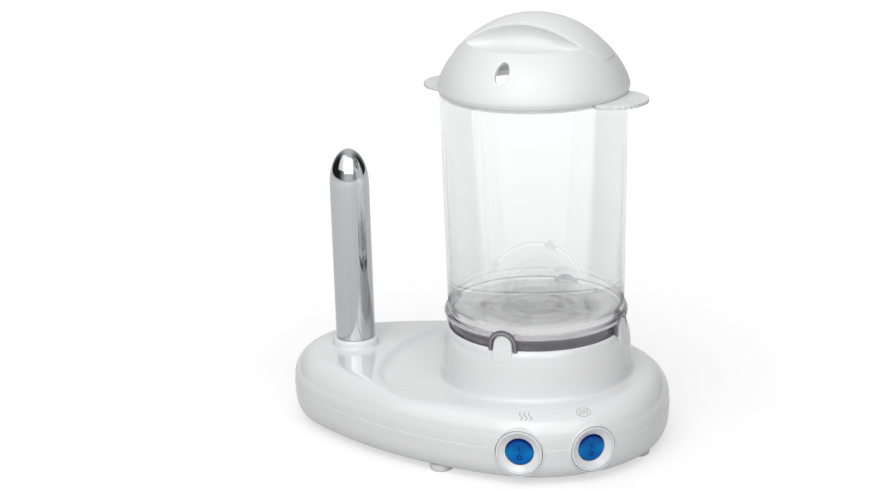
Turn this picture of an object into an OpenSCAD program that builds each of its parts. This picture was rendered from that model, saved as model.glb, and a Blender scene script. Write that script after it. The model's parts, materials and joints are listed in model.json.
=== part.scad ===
// Sausage steamer with a heated bun spike: base, clear container, domed lid
// Millimetres, Z up, front is -Y, origin on the table under the middle of the base

/* [Base] */
// Length of the base along X
base_length = 284; // [270:1:310]
// Depth of the base along Y
base_depth = 190; // [184:1:204]
// Height of the spike platform above the table
base_height = 52; // [49:0.5:58]
// Height of the feet below the lower housing
foot_height = 5; // [5:0.5:8]
// Wall thickness of the housings
wall = 2.5; // [2:0.1:3]

/* [Container] */
// Outer diameter of the container at its rim
container_d = 130; // [124:1:134]
// Height of the container from its bottom lip to its rim
container_h = 158.7; // [140:1:190]

/* [Lid] */
// Rise of the dome above its widest ring
dome_rise = 48.6; // [42:0.5:58]
// Width of the grip bar across the dome
handle_width = 40; // [34:1:44]

/* [Spike] */
// Diameter of the bun spike
spike_d = 29; // [26:0.5:31]
// Height of the spike above its platform
spike_h = 150; // [120:1:180]

/* [Switches] */
// Diameter of a rocker
rocker_d = 19.1; // [17.5:0.1:20]
// Angle of the left switch around the wide end, from the front
left_angle = 13.1; // [9:0.1:14]
// Angle of the right switch around the wide end, from the front
right_angle = 44.7; // [42:0.1:46]

/* [Mains lead] */
// Diameter of the bore for the mains lead
cord_d = 6.8; // [5.5:0.1:7.5]

/* [Hidden] */
$fn = 96;

// Outline of the base: two end circles joined by tangent flank arcs
big_r = base_depth/2 - 0.5;
small_r = 0.7037*big_r;
flank_r = 1.0453*base_length;
big_x = base_length/2 - big_r;
small_x = small_r - base_length/2;
centre_gap = big_x - small_x;
flank_a = flank_r - big_r;
flank_b = flank_r - small_r;
flank_x = big_x - (flank_a*flank_a - flank_b*flank_b + centre_gap*centre_gap)/(2*centre_gap);
flank_y = -sqrt(flank_a*flank_a - (big_x - flank_x)*(big_x - flank_x));
big_turn = atan2(-flank_y, big_x - flank_x);
small_turn = atan2(-flank_y, small_x - flank_x);

// Heights of the housings
z_bottom = foot_height;
z_part = z_bottom + 0.4945*(base_height - z_bottom);
z_top = base_height;
z_under = z_top - wall;
edge_r = 16;
// Facets of a full turn in previews of the outline's long arcs
arc_fn = 360;
// Width of the floor's border, which the wall's sweep carries
floor_band = 14;

// Container seat on the base
seat_x = big_x - 0.5;
rim_r = container_d/2;
foot_r = rim_r - 2.5;
collar_r = rim_r + 2.4;
collar_in = foot_r - 0.5;
z_ledge = z_top + 22.5;
z_collar = z_top + 35.5;
z_lip = z_top + 45.5;
z_rim = z_lip + container_h;
tongue_w = 13.6;
ear_turn = -8;
tongue_z = z_lip - tongue_w/2;

// Drip dish around the collar, tilted towards the spike
spike_x = 44 - base_length/2;
dish_r = seat_x - spike_x - 29;
dish_tilt = 2.4;
z_dish = z_top - 0.6;

// Water plate and its heater
plate_r = foot_r - 1;
bowl_r = plate_r - 6;
z_seal = z_ledge + 1;
z_flange = z_seal + 1;
z_plate = z_flange - 13;
heater_r = 0.7*bowl_r;
heater_d = 7;
z_heater = z_plate - 3;
leg_x = seat_x - heater_r*cos(30);
leg_y = heater_r*sin(30);
stud_r = bowl_r + 4.3;
stud_d = 2.5;
stud_turn = 35;

// Lid dome
lid_r = rim_r + 1.3;
z_wide = z_rim + 3.6;
z_plug = z_rim - 2.7;
lid_wall = 2.6;
z_grip = z_wide + 0.632*dome_rise;
grip_step = 1.2;
vent_turn = 49;
vent_z = z_wide + 0.405*dome_rise;

// Spike
ring_r = spike_d/2 + 2.7;
neck_r = spike_d/2 - 0.6;
tube_wall = 1.2;
core_r = spike_d/2 - tube_wall;
cartridge_r = 8;
z_spike_base = z_under - 4.5;

// Switches, in a frame with x along the wall, y up and z outward
switch_z = z_part - 3;
switch_r = big_r - 0.8;
rocker_r = rocker_d/2;
well_r = rocker_r + 0.35;
sleeve_r = well_r + 1.5;
bezel_r = sleeve_r + 4.8;
pivot_u = -7.5;
half_throw = 7;
lever_u = -16;
pivot_r = 0.55;

// Fixings and lead inlet
post_turn = 75;
post_r = big_r - 14.5;
post_left_x = 0.485*small_x - 22.65;
post_left_y = 0.55*base_depth/2;
gland_turn = 14.44;
gland_z = z_bottom + 15.7;
block_x = -28;
block_y = 45;

function dome_point(t) = [lid_r*pow(cos(t), 0.98), z_wide + dome_rise*pow(sin(t), 1.4)];
function dome_slope(t) = dome_point(min(t + 1, 90)) - dome_point(max(t - 1, 0));
function dome_offset(t, d) = let(p = dome_point(t), s = dome_slope(t), n = norm(s))
  [t >= 90 ? 0 : p[0] + d*s[1]/n, p[1] - d*s[0]/n];
function dome_curve(d) = [for (i = [0:18]) dome_offset(5*i, d)];

// Section of the upper housing wall: straight side, rounded edge, flat top
function upper_section(r, inner) = concat(
  [[r, z_part], [r, z_top - edge_r]],
  [for (i = [1:8]) [r - edge_r + edge_r*cos(11.25*i), z_top - edge_r + edge_r*sin(11.25*i)]],
  [[inner, z_top], [inner, z_under]],
  [for (i = [8:-1:0]) [r - edge_r + (edge_r - wall)*cos(11.25*i), z_top - edge_r + (edge_r - wall)*sin(11.25*i)]],
  [[r - wall, z_part]]);

// Section of the lower housing: flat floor, turned-in bottom edge, straight side
function lower_section(r, inner) = [[inner, z_bottom], [r - 6.5, z_bottom], [r - 4, z_bottom + 1.1],
  [r - 1.9, z_bottom + 4.1], [r - 0.5, z_bottom + 8.6], [r, z_bottom + 14], [r, z_part], [r - wall, z_part],
  [r - wall, z_bottom + 14], [r - wall - 0.5, z_bottom + 8.9], [r - wall - 1.8, z_bottom + wall + 2.5],
  [r - wall - 3.6, z_bottom + wall], [inner, z_bottom + wall]];

// A tall prism that keeps the stretch of wall belonging to one arc
module keep(points) translate([0, 0, -1]) linear_extrude(z_top + 10) polygon(points);

// Sweeps one of the two wall sections round the outline
module outline_sweep(upper) {
  flank_in = flank_r - base_depth/2 - 4;
  reach = 2*big_r;
  out_big = [flank_x + (flank_r + 30)*cos(big_turn), flank_y + (flank_r + 30)*sin(big_turn)];
  out_small = [flank_x + (flank_r + 30)*cos(small_turn), flank_y + (flank_r + 30)*sin(small_turn)];
  intersection() {
    translate([big_x, 0, 0]) rotate_extrude($fn = arc_fn)
      polygon(upper ? upper_section(big_r, 0) : lower_section(big_r, big_r - floor_band));
    keep([[big_x, 0], [out_big[0], -out_big[1]], [big_x + reach, -out_big[1]], [big_x + reach, out_big[1]], out_big]);
  }
  intersection() {
    translate([small_x, 0, 0]) rotate_extrude($fn = arc_fn)
      polygon(upper ? upper_section(small_r, 0) : lower_section(small_r, small_r - floor_band));
    keep([[small_x, 0], out_small, [small_x - reach, out_small[1]], [small_x - reach, -out_small[1]],
      [out_small[0], -out_small[1]]]);
  }
  for (m = [0, 1]) mirror([0, m, 0]) intersection() {
    translate([flank_x, flank_y, 0]) rotate_extrude($fn = arc_fn)
      polygon(upper ? upper_section(flank_r, flank_in) : lower_section(flank_r, flank_r - floor_band));
    keep([[big_x, 0], out_big, out_small, [small_x, 0]]);
  }
}

// Points of the base outline, drawn in by d, with none on a seam between two arcs
function outline(d) = concat(
  [for (i = [0:20]) let(a = -big_turn + 2*big_turn*(i + 0.5)/21) [big_x + (big_r - d)*cos(a), (big_r - d)*sin(a)]],
  [for (i = [0:10]) let(a = big_turn + (small_turn - big_turn)*(i + 0.5)/11)
    [flank_x + (flank_r - d)*cos(a), flank_y + (flank_r - d)*sin(a)]],
  [for (i = [0:20]) let(a = small_turn + (360 - 2*small_turn)*(i + 0.5)/21)
    [small_x + (small_r - d)*cos(a), (small_r - d)*sin(a)]],
  [for (i = [10:-1:0]) let(a = big_turn + (small_turn - big_turn)*(i + 0.5)/11)
    [flank_x + (flank_r - d)*cos(a), -flank_y - (flank_r - d)*sin(a)]]);

module at_seat() translate([seat_x, 0, 0]) children();
module at_spike() translate([spike_x, 0, 0]) children();
module at_switch(a) translate([big_x + switch_r*sin(a), -switch_r*cos(a), switch_z]) rotate([0, 0, a])
  rotate([90, 0, 0]) children();
module at_gland() translate([flank_x - flank_r*sin(gland_turn), flank_y + flank_r*cos(gland_turn), gland_z])
  rotate([0, 0, gland_turn]) rotate([-90, 0, 0]) children();
module at_posts() {
  for (m = [0, 1]) mirror([0, m, 0]) {
    translate([big_x + post_r*sin(post_turn), -post_r*cos(post_turn), 0]) children();
    translate([post_left_x, -post_left_y, 0]) children();
  }
}
module at_feet() {
  for (m = [-1, 1]) translate([6, m*(base_depth/2 - 15), 0]) children();
  translate([base_length/2 - 16, -8, 0]) children();
  translate([18 - base_length/2, 0, 0]) children();
}
module at_plate_studs() at_seat() for (i = [0:2]) rotate([0, 0, stud_turn + 120*i])
  translate([stud_r, 0, 0]) children();
module at_strap_studs() at_seat() for (m = [-1, 1]) translate([0, 20*m, 0]) children();
module at_spike_screws() at_spike() for (i = [0:2]) rotate([0, 0, 60 + 120*i])
  translate([spike_d/2 + 5, 0, 0]) children();
module at_tongues() at_seat() for (i = [0:3]) rotate([0, 0, 90*i]) children();

// A flat shape stood up on the +X side of the collar and pushed outward
module radial(r0, r1) translate([r0, 0, 0]) rotate([90, 0, 90]) linear_extrude(r1 - r0) children();

// A hexagon nut with a round hole
module nut(flats, h, hole) difference() {
  cylinder(d = flats/cos(30), h = h, $fn = 6);
  translate([0, 0, -1]) cylinder(r = hole, h = h + 2);
}

// Outline of a locating tongue, grown by g
module tongue_shape(g) {
  translate([0, tongue_z]) circle(r = tongue_w/2 + g);
  polygon([[-tongue_w/2 - 1.4 - g, z_ledge], [tongue_w/2 + 1.4 + g, z_ledge],
    [tongue_w/2 + g, tongue_z], [-tongue_w/2 - g, tongue_z]]);
}

// The shallow dish, lowered by d and widened by d
module dish(d) translate([seat_x, 0, z_dish - d]) rotate([0, -dish_tilt, 0]) rotate_extrude()
  polygon([[0, 0], [dish_r - 9 + d, 0], [dish_r + d, 6], [dish_r + d, 20], [0, 20]]);

module upper_housing() color([0.93, 0.93, 0.93]) difference() {
  union() {
    difference() {
      union() {
        outline_sweep(true);
        intersection() {
          dish(wall);
          translate([0, 0, z_top - 12]) linear_extrude(12 - wall/2) polygon(outline(11));
        }
      }
      dish(0);
      at_seat() translate([0, 0, z_bottom]) cylinder(r = collar_r - wall + 0.4, h = z_top);
    }
    at_seat() rotate_extrude() polygon(concat([[collar_r - wall, z_top - 9], [collar_r, z_top - 9],
        [collar_r, z_top + 17.5]],
      [for (i = [1:8]) [foot_r + 0.5 + (collar_r - foot_r - 0.5)*cos(11.25*i),
        z_top + 17.5 + (z_collar - z_top - 17.5)*sin(11.25*i)]],
      [[collar_in, z_collar], [collar_in, z_ledge], [bowl_r + 1.3, z_ledge],
        [bowl_r + 1.3, z_ledge - wall], [collar_r - wall, z_ledge - wall]]));
    at_tongues() intersection() {
      rotate_extrude() polygon([[foot_r + 0.4, z_ledge + 2], [collar_r - 0.4, z_ledge + 2],
        [collar_r - 0.9, z_collar - 6], [foot_r + 2.4, z_lip - 6], [foot_r + 2, z_lip], [foot_r + 0.4, z_lip]]);
      radial(foot_r - 6, collar_r + 6) tongue_shape(0);
    }
    at_spike() rotate_extrude() polygon([[neck_r + 0.1, z_under], [ring_r, z_under], [ring_r, z_top + 3.6],
      [ring_r - 0.5, z_top + 4.9], [ring_r - 1.4, z_top + 5.6], [neck_r + 0.1, z_top + 5.6]]);
    at_posts() translate([0, 0, z_part]) cylinder(r = 4.5, h = z_under + 0.4 - z_part);
    at_spike_screws() translate([0, 0, z_spike_base]) cylinder(r = 3.2, h = z_under - z_spike_base + 0.5);
  }
  at_spike() translate([0, 0, z_bottom]) cylinder(r = neck_r + 0.1, h = z_top);
  at_plate_studs() translate([0, 0, z_ledge - 10]) cylinder(d = stud_d + 0.4, h = 12);
  at_posts() translate([0, 0, z_part - 1]) cylinder(r = 1.6, h = 15);
  at_spike_screws() translate([0, 0, z_spike_base - 1]) cylinder(r = 1.5, h = 5.4);
  for (a = [left_angle, right_angle]) at_switch(a) translate([0, 0, -9]) cylinder(r = bezel_r + 0.02, h = 14);
}

module lower_housing() color([0.9, 0.9, 0.9]) difference() {
  union() {
    outline_sweep(false);
    translate([0, 0, z_bottom]) linear_extrude(wall) polygon(outline(floor_band - 5));
    at_posts() translate([0, 0, z_bottom + 0.5]) cylinder(r = 5.5, h = z_part - z_bottom - 0.5);
  }
  at_posts() translate([0, 0, z_bottom - 1]) {
    cylinder(r = 4.1, h = 6);
    cylinder(r = 2.1, h = 40);
  }
  at_feet() translate([0, 0, z_bottom - 1]) cylinder(r = 3, h = 5);
  for (i = [-3:3]) translate([seat_x + 9*i - 1.6, -22, z_bottom - 1]) cube([3.2, 44, 5]);
  at_gland() translate([0, 0, -8]) cylinder(r = 5.22, h = 14);
  for (a = [left_angle, right_angle]) at_switch(a) translate([0, 0, -9]) cylinder(r = bezel_r + 0.02, h = 14);
}

module feet() color([0.85, 0.85, 0.85]) at_feet() rotate_extrude() polygon([[0, 0], [6.2, 0], [7.4, 0.9],
  [8, z_bottom], [3, z_bottom], [3, z_bottom + 3.4], [0, z_bottom + 3.4]]);

module housing_screws() color([0.6, 0.6, 0.62]) at_posts() difference() {
  rotate_extrude() polygon([[0, z_bottom + 2.2], [3.7, z_bottom + 2.2], [3.7, z_bottom + 5], [1.6, z_bottom + 5],
    [1.6, z_part + 12], [0, z_part + 13.5]]);
  for (a = [0, 90]) rotate([0, 0, a]) translate([-2.4, -0.5, z_bottom + 1]) cube([4.8, 1, 2.6]);
}

module heating_plate() color([0.72, 0.73, 0.75]) at_seat() rotate_extrude() polygon([[0, z_plate],
  [bowl_r, z_plate], [bowl_r + 1, z_plate + 1], [bowl_r + 1, z_seal], [plate_r, z_seal], [plate_r, z_flange],
  [bowl_r, z_flange], [bowl_r, z_plate + 2.4], [bowl_r - 1.4, z_plate + 1], [14, z_plate + 1],
  [12, z_plate + 1.6], [0, z_plate + 1.6]]);

module plate_seal() color([0.8, 0.78, 0.74]) difference() {
  at_seat() rotate_extrude() polygon([[bowl_r + 1.4, z_ledge], [plate_r, z_ledge], [plate_r, z_seal],
    [bowl_r + 1.4, z_seal]]);
  at_plate_studs() translate([0, 0, z_ledge - 1]) cylinder(d = stud_d + 0.4, h = 4);
}

module plate_studs() color([0.66, 0.66, 0.68]) at_plate_studs() translate([0, 0, z_ledge - 9])
  cylinder(d = stud_d, h = z_seal - z_ledge + 9);

module plate_nuts() color([0.6, 0.6, 0.62]) at_plate_studs() translate([0, 0, z_ledge - wall - 3.2])
  nut(2*stud_d, 3.2, stud_d/2);

module heater_element() color([0.45, 0.44, 0.43]) intersection() {
  union() {
    at_seat() rotate([0, 0, 210]) rotate_extrude(angle = 300) translate([heater_r, z_heater]) circle(d = heater_d);
    for (m = [-1, 1]) translate([leg_x, m*leg_y, z_plate - 13.5]) cylinder(d = heater_d - 0.6, h = 12);
  }
  translate([seat_x - 100, -100, z_bottom]) cube([200, 200, z_plate - z_bottom]);
}

module heater_insulators() color([0.92, 0.9, 0.85]) for (m = [-1, 1])
  translate([leg_x, m*leg_y, z_plate - 18]) cylinder(r = 2.6, h = 4.5);

module heater_tabs() color([0.75, 0.7, 0.5]) for (m = [-1, 1])
  translate([leg_x - 0.4, m*leg_y - 2.4, z_plate - 25]) cube([0.8, 4.8, 7]);

module thermostat() color([0.2, 0.2, 0.22]) at_seat() {
  translate([0, 0, z_plate - 11.5]) cylinder(r = 8, h = 11.5);
  for (m = [-1, 1]) translate([5.5*m - 0.4, -3, z_plate - 19]) cube([0.8, 6, 8]);
}

module thermostat_strap() color([0.7, 0.7, 0.72]) difference() {
  translate([seat_x - 4, -25, z_plate - 12.5]) cube([8, 50, 1]);
  at_strap_studs() translate([0, 0, z_plate - 14]) cylinder(r = 2.05, h = 4);
}

module strap_studs() color([0.66, 0.66, 0.68]) at_strap_studs() translate([0, 0, z_plate - 17.5])
  cylinder(r = 2, h = 17.5);

module strap_nuts() color([0.6, 0.6, 0.62]) at_strap_studs() translate([0, 0, z_plate - 15.7]) nut(7, 3.2, 2);

module thermal_fuse() color([0.85, 0.83, 0.78]) intersection() {
  translate([seat_x + 11, 12, z_plate - 2]) rotate([0, 90, 0]) cylinder(r = 2.4, h = 14);
  translate([seat_x, 0, z_plate - 10]) cube([40, 24, 10]);
}

module spike_tube() color([0.82, 0.83, 0.85]) at_spike() rotate_extrude() polygon(concat(
  [[core_r, z_spike_base], [neck_r, z_spike_base], [neck_r, z_top + 5.6], [spike_d/2, z_top + 5.6]],
  [for (i = [0:9]) [spike_d/2*cos(10*i), z_top + spike_h - 26 + 26*sin(10*i)]],
  [[0, z_top + spike_h - tube_wall - 0.6]],
  [for (i = [8:-1:0]) [core_r*cos(10*i), z_top + spike_h - 26 + (26 - tube_wall - 0.6)*sin(10*i)]]));

module spike_core() color([0.78, 0.78, 0.8]) at_spike() rotate_extrude() polygon([[cartridge_r + 0.03, z_spike_base],
  [core_r - 0.03, z_spike_base], [core_r - 0.03, z_top + spike_h - 28], [cartridge_r + 0.03, z_top + spike_h - 28]]);

module spike_heater() color([0.5, 0.5, 0.52]) at_spike() translate([0, 0, z_spike_base - 5])
  cylinder(r = cartridge_r, h = z_top + spike_h - 34 - z_spike_base + 5);

module spike_flange() color([0.7, 0.7, 0.72]) difference() {
  at_spike() rotate_extrude() polygon([[cartridge_r + 0.03, z_spike_base - 2], [spike_d/2 + 9.5, z_spike_base - 2],
    [spike_d/2 + 9.5, z_spike_base], [cartridge_r + 0.03, z_spike_base]]);
  at_spike_screws() translate([0, 0, z_spike_base - 3]) cylinder(r = 1.6, h = 4);
}

module spike_screws() color([0.6, 0.6, 0.62]) at_spike_screws() rotate_extrude() polygon([[0, z_spike_base - 4.2],
  [2.8, z_spike_base - 4.2], [2.8, z_spike_base - 2], [1.5, z_spike_base - 2], [1.5, z_spike_base + 3.6],
  [0, z_spike_base + 4.2]]);

module bezel(a) color([0.95, 0.95, 0.95]) at_switch(a) rotate_extrude() polygon([[well_r, -4.2], [well_r, -3],
  [well_r + 0.4, -2.8], [bezel_r - 2.1, 0], [bezel_r - 1.7, 0.3], [bezel_r - 0.4, 0.3], [bezel_r, -0.1],
  [bezel_r, -4.5], [sleeve_r + 2, -5.2], [sleeve_r + 2, -9], [sleeve_r + 0.02, -9], [sleeve_r + 0.02, -4.2]]);

module switch_body(a) color([0.93, 0.93, 0.9]) at_switch(a) difference() {
  rotate_extrude() polygon([[well_r, -4.2], [sleeve_r, -4.2], [sleeve_r, -25], [0, -25], [0, -21.5],
    [well_r, -21.5]]);
  translate([-20, 0, pivot_u]) rotate([0, 90, 0]) cylinder(r = 1.25, h = 40);
  for (v = [-6.5, 0, 6.5]) translate([-2.4, v - 0.4, -26]) cube([4.8, 0.8, 6]);
}

// A rocker: round key with a hollow face, two pivot pins and a plunger, shown switched off
module rocker(a) color([0.0, 0.4, 0.75]) at_switch(a) translate([0, 0, pivot_u]) rotate([half_throw, 0, 0])
  translate([0, 0, -pivot_u]) {
    intersection() {
      intersection_for(s = [-1, 1]) translate([0, 0, pivot_u]) rotate([s*half_throw, 0, 0]) translate([0, 0, -7])
        cylinder(r = rocker_r, h = 20);
      rotate([90, 0, 90]) translate([0, 0, -20]) linear_extrude(40) polygon([[-12, -0.8], [-6, -2.3], [0, -2.9],
        [6, -2.3], [12, -0.8], [12, -9.5], [4, -11], [-4, -11], [-12, -9.5]]);
    }
    translate([-sleeve_r + 0.2, 0, pivot_u]) rotate([0, 90, 0]) cylinder(r = 1.2, h = 2*sleeve_r - 0.4);
    translate([0, 0, -14]) cylinder(r = 1.2, h = 4);
  }

module contact_lever(a) color([0.8, 0.55, 0.3]) at_switch(a) translate([0, 0, lever_u]) rotate([-half_throw, 0, 0]) {
  translate([-2, -6.6, 0.3]) cube([4, 13.2, 0.7]);
  translate([-2, 0, 0]) rotate([0, 90, 0]) cylinder(r = pivot_r, h = 4);
}

module terminals(a) color([0.78, 0.72, 0.5]) at_switch(a) {
  for (v = [-6.5, 6.5]) translate([-2.4, v - 0.4, -33]) cube([4.8, 0.8, 15.8]);
  translate([-2.4, -0.4, -33]) cube([4.8, 0.8, 33 + lever_u - pivot_r - 0.3]);
}

module lamp(a) color([0.9, 0.5, 0.3]) at_switch(a) translate([6.2, 0, -21.5]) cylinder(r = 1.7, h = 7.5);

module bezel_left() bezel(left_angle);
module bezel_right() bezel(right_angle);
module switch_body_left() switch_body(left_angle);
module switch_body_right() switch_body(right_angle);
module rocker_left() rocker(left_angle);
module rocker_right() rocker(right_angle);
module contact_lever_left() contact_lever(left_angle);
module contact_lever_right() contact_lever(right_angle);
module terminals_left() terminals(left_angle);
module terminals_right() terminals(right_angle);
module lamp_left() lamp(left_angle);
module lamp_right() lamp(right_angle);

module cord_gland() color([0.88, 0.88, 0.88]) at_gland() rotate_extrude() polygon([[cord_d/2, -12], [4.8, -12],
  [4.8, -5.4], [6.6, -5.4], [6.6, -3.3], [5.2, -3.3], [5.2, 0.15], [6.6, 0.15], [6, 2.4], [cord_d/2, 2.4]]);

module terminal_block() color([0.9, 0.9, 0.86]) translate([block_x - 16, block_y - 9, z_bottom + wall]) difference() {
  cube([32, 18, 14]);
  for (i = [0:2]) translate([6 + 10*i, 9, 7]) cylinder(r = 2.5, h = 8);
}

module terminal_screws() color([0.7, 0.62, 0.4]) for (i = [-1:1]) translate([block_x + 10*i, block_y, z_bottom + wall + 7])
  difference() {
    cylinder(r = 2.5, h = 4);
    translate([-3, -0.4, 3]) cube([6, 0.8, 2]);
  }

// A round lead swept along a smooth path through the given points
function path_point(p, i, t) = let(n = len(p), a = p[max(i - 1, 0)], b = p[i], c = p[i + 1], d = p[min(i + 2, n - 1)])
  0.5*(2*b + (c - a)*t + (2*a - 5*b + 4*c - d)*t*t + (3*b - a - 3*c + d)*t*t*t);
function unit(v) = v/norm(v);
module lead(p, r = 1.1, steps = 6, sides = 8) {
  n = len(p);
  line = concat([for (i = [0:n - 2]) for (k = [0:steps - 1]) path_point(p, i, k/steps)], [p[n - 1]]);
  m = len(line);
  dirs = [for (i = [0:m - 1]) i == 0 ? unit(p[1] - p[0]) : i == m - 1 ? unit(p[n - 1] - p[n - 2])
    : unit(line[i + 1] - line[i - 1])];
  ring = [for (i = [0:m - 1]) let(u = unit(cross(dirs[i], [0.31, 0.17, 0.93])), w = cross(dirs[i], u))
    for (k = [0:sides - 1]) line[i] + r*(cos(360*k/sides)*u + sin(360*k/sides)*w)];
  polyhedron(ring, concat([[for (k = [0:sides - 1]) k]],
    [for (i = [0:m - 2]) for (k = [0:sides - 1]) let(j = (k + 1)%sides)
      [i*sides + j, i*sides + k, (i + 1)*sides + k, (i + 1)*sides + j]],
    [[for (k = [sides - 1:-1:0]) (m - 1)*sides + k]]), convexity = 4);
}

// Point behind a switch: v above its axis and u along it
function behind(a, v, u) = [big_x + (switch_r + u)*sin(a), -(switch_r + u)*cos(a), switch_z + v];
z_pole = z_bottom + wall + 6;
pole_y = block_y - 9;

// First two points of a lead that leaves the terminal block at dx from its middle
function from_block(dx) = [[block_x + dx, pole_y, z_pole], [block_x + dx, pole_y - 5, z_pole]];

module leads_live() color([0.35, 0.2, 0.1]) {
  lead(concat(from_block(-12), [[-42, 16, z_bottom + wall + 2.5], [-20, -20, z_bottom + wall + 2.5],
    [30, -46, z_bottom + wall + 4], behind(left_angle, 0, -43), behind(left_angle, 0, -33)]));
  lead(concat(from_block(-8), [[-30, 16, z_bottom + wall + 9], [0, 2, z_bottom + wall + 9],
    [50, -8, z_bottom + wall + 10], behind(right_angle, 0, -45), behind(right_angle, 0, -33)]));
}

module leads_switched() color([0.1, 0.1, 0.1]) {
  lead([behind(left_angle, -6.5, -33), behind(left_angle, -6.5, -43), [50, -32, z_bottom + wall + 11],
    [leg_x, -leg_y, z_plate - 37], [leg_x, -leg_y, z_plate - 25]]);
  lead([behind(right_angle, -6.5, -33), behind(right_angle, -6.5, -44), [60, -24, z_bottom + wall + 3],
    [0, -12, z_bottom + wall + 13], [-60, -12, z_bottom + wall + 20], [spike_x + 4, -3, z_spike_base - 15],
    [spike_x + 4, -3, z_spike_base - 5]]);
}

module leads_neutral() color([0.15, 0.3, 0.6]) {
  lead(concat(from_block(2), [[-20, 27, z_pole + 9], [leg_x, leg_y, z_plate - 36], [leg_x, leg_y, z_plate - 25]]));
  lead(concat(from_block(-2), [[-40, 24, z_bottom + wall + 20], [-66, 8, z_bottom + wall + 24],
    [spike_x - 4, 3, z_spike_base - 15], [spike_x - 4, 3, z_spike_base - 5]]));
}

module leads_earth() color([0.5, 0.65, 0.2]) {
  lead(concat(from_block(12), [[0, 30, z_bottom + wall + 10], [30, 20, z_bottom + wall + 20],
    [seat_x, 12, z_plate - 24], [seat_x, 12, z_plate - 12.5]]), r = 0.9);
  lead(concat(from_block(8), [[-24, 23, z_bottom + wall + 3], [-50, 2, z_bottom + wall + 11],
    [spike_x + spike_d/2 + 5, 0, z_spike_base - 16], [spike_x + spike_d/2 + 5, 0, z_spike_base - 2]]), r = 0.9);
}

module container() color([0.85, 0.9, 0.92, 0.4]) difference() {
  union() {
    at_seat() rotate_extrude() polygon([[foot_r - 3.3, z_flange + 0.05], [foot_r - 1.3, z_flange + 0.05],
      [foot_r - 1.3, z_lip - 3], [foot_r + 2, z_lip - 2], [foot_r + 2.7, z_lip - 1.2], [foot_r + 2.7, z_lip + 0.8],
      [foot_r + 1.9, z_lip + 1.6], [foot_r + 0.1, z_lip + 2.2], [rim_r, z_rim - 4], [rim_r, z_rim],
      [rim_r - 2.2, z_rim], [rim_r - 2.2, z_rim - 4], [foot_r - 2.2, z_lip - 0.5], [0, z_lip - 0.5],
      [0, z_lip - 2.7], [foot_r - 3.3, z_lip - 2.7]]);
    at_tongues() intersection() {
      rotate_extrude() polygon([[foot_r - 0.3, tongue_z], [foot_r + 2.7, tongue_z], [foot_r + 2.7, z_lip + 6],
        [foot_r - 0.3, z_lip + 6]]);
      radial(foot_r - 6, foot_r + 8) difference() {
        translate([0, tongue_z]) circle(r = tongue_w/2 + 4);
        translate([0, tongue_z]) circle(r = tongue_w/2 + 0.6);
      }
    }
    at_seat() difference() {
      rotate([0, 0, ear_turn]) for (m = [-1, 1]) translate([m*(rim_r - 4), 0, z_rim - 2.8]) cylinder(r = 24, h = 2.8);
      cylinder(r = rim_r - 1, h = z_rim + 10);
    }
  }
  at_tongues() intersection() {
    rotate_extrude() polygon([[foot_r + 0.12, z_ledge], [foot_r + 9, z_ledge], [foot_r + 9, z_lip + 8],
      [foot_r + 0.12, z_lip + 8]]);
    radial(foot_r - 6, foot_r + 12) tongue_shape(0.6);
  }
  at_seat() for (r = [0.2, 0.36, 0.52]) for (i = [0:3]) rotate([0, 0, 10 + 90*i]) rotate_extrude(angle = 70)
    translate([r*rim_r, z_lip - 4]) square([3.2, 5]);
}

// Plan of the grip bar, drawn in by k
function bar_plan(k) = let(w = handle_width/2 - k, l = lid_r - 10.8 - k)
  [[-l, -0.35*w], [-0.94*l, -0.62*w], [-0.76*l, -0.91*w], [-0.43*l, -w], [0.43*l, -w], [0.76*l, -0.91*w],
    [0.94*l, -0.62*w], [l, -0.35*w], [l, 0.35*w], [0.94*l, 0.62*w], [0.76*l, 0.91*w], [0.43*l, w],
    [-0.43*l, w], [-0.76*l, 0.91*w], [-0.94*l, 0.62*w], [-l, 0.35*w]];

// Everything above the finger ledges beside the grip bar
module ledges(k) difference() {
  translate([-100, -100, z_grip - k]) cube([200, 200, 100]);
  translate([0, 0, z_wide - 20]) linear_extrude(200) polygon(bar_plan(k));
}

// The layer of the dome between two offsets
module dome_layer(inner, outer) difference() {
  rotate_extrude() polygon(concat([[0, z_wide]], dome_curve(outer)));
  rotate_extrude() polygon(concat([[0, z_wide - 5], [lid_r - 6, z_wide - 5]], dome_curve(inner)));
}

module lid() color([0.96, 0.96, 0.96]) at_seat() difference() {
  rotate_extrude() polygon(concat([[0, z_plug], [rim_r - 2.5, z_plug], [rim_r - 2.5, z_rim + 0.1],
    [rim_r - 0.2, z_rim + 0.1], [rim_r + 0.7, z_rim + 1.4]], dome_curve(0)));
  ledges(0);
  difference() {
    rotate_extrude() polygon(concat([[0, z_plug - 1], [rim_r - 4.7, z_plug - 1], [rim_r - 4.7, z_rim + 1]],
      dome_curve(-lid_wall)));
    ledges(lid_wall);
  }
  intersection() {
    dome_layer(-grip_step, 6);
    linear_extrude(z_wide + 2*dome_rise) polygon(bar_plan(0));
  }
  translate([0, -0.86*lid_r, vent_z]) rotate([vent_turn, 0, 0]) translate([0, 0, -8]) linear_extrude(16)
    polygon([for (i = [0:35]) [5*cos(10*i), 8.5*sin(10*i)]]);
}

module lid_handle() color([0.95, 0.95, 0.95]) at_seat() intersection() {
  dome_layer(-grip_step, 0.7);
  linear_extrude(z_wide + 2*dome_rise) polygon(bar_plan(0));
}

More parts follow.
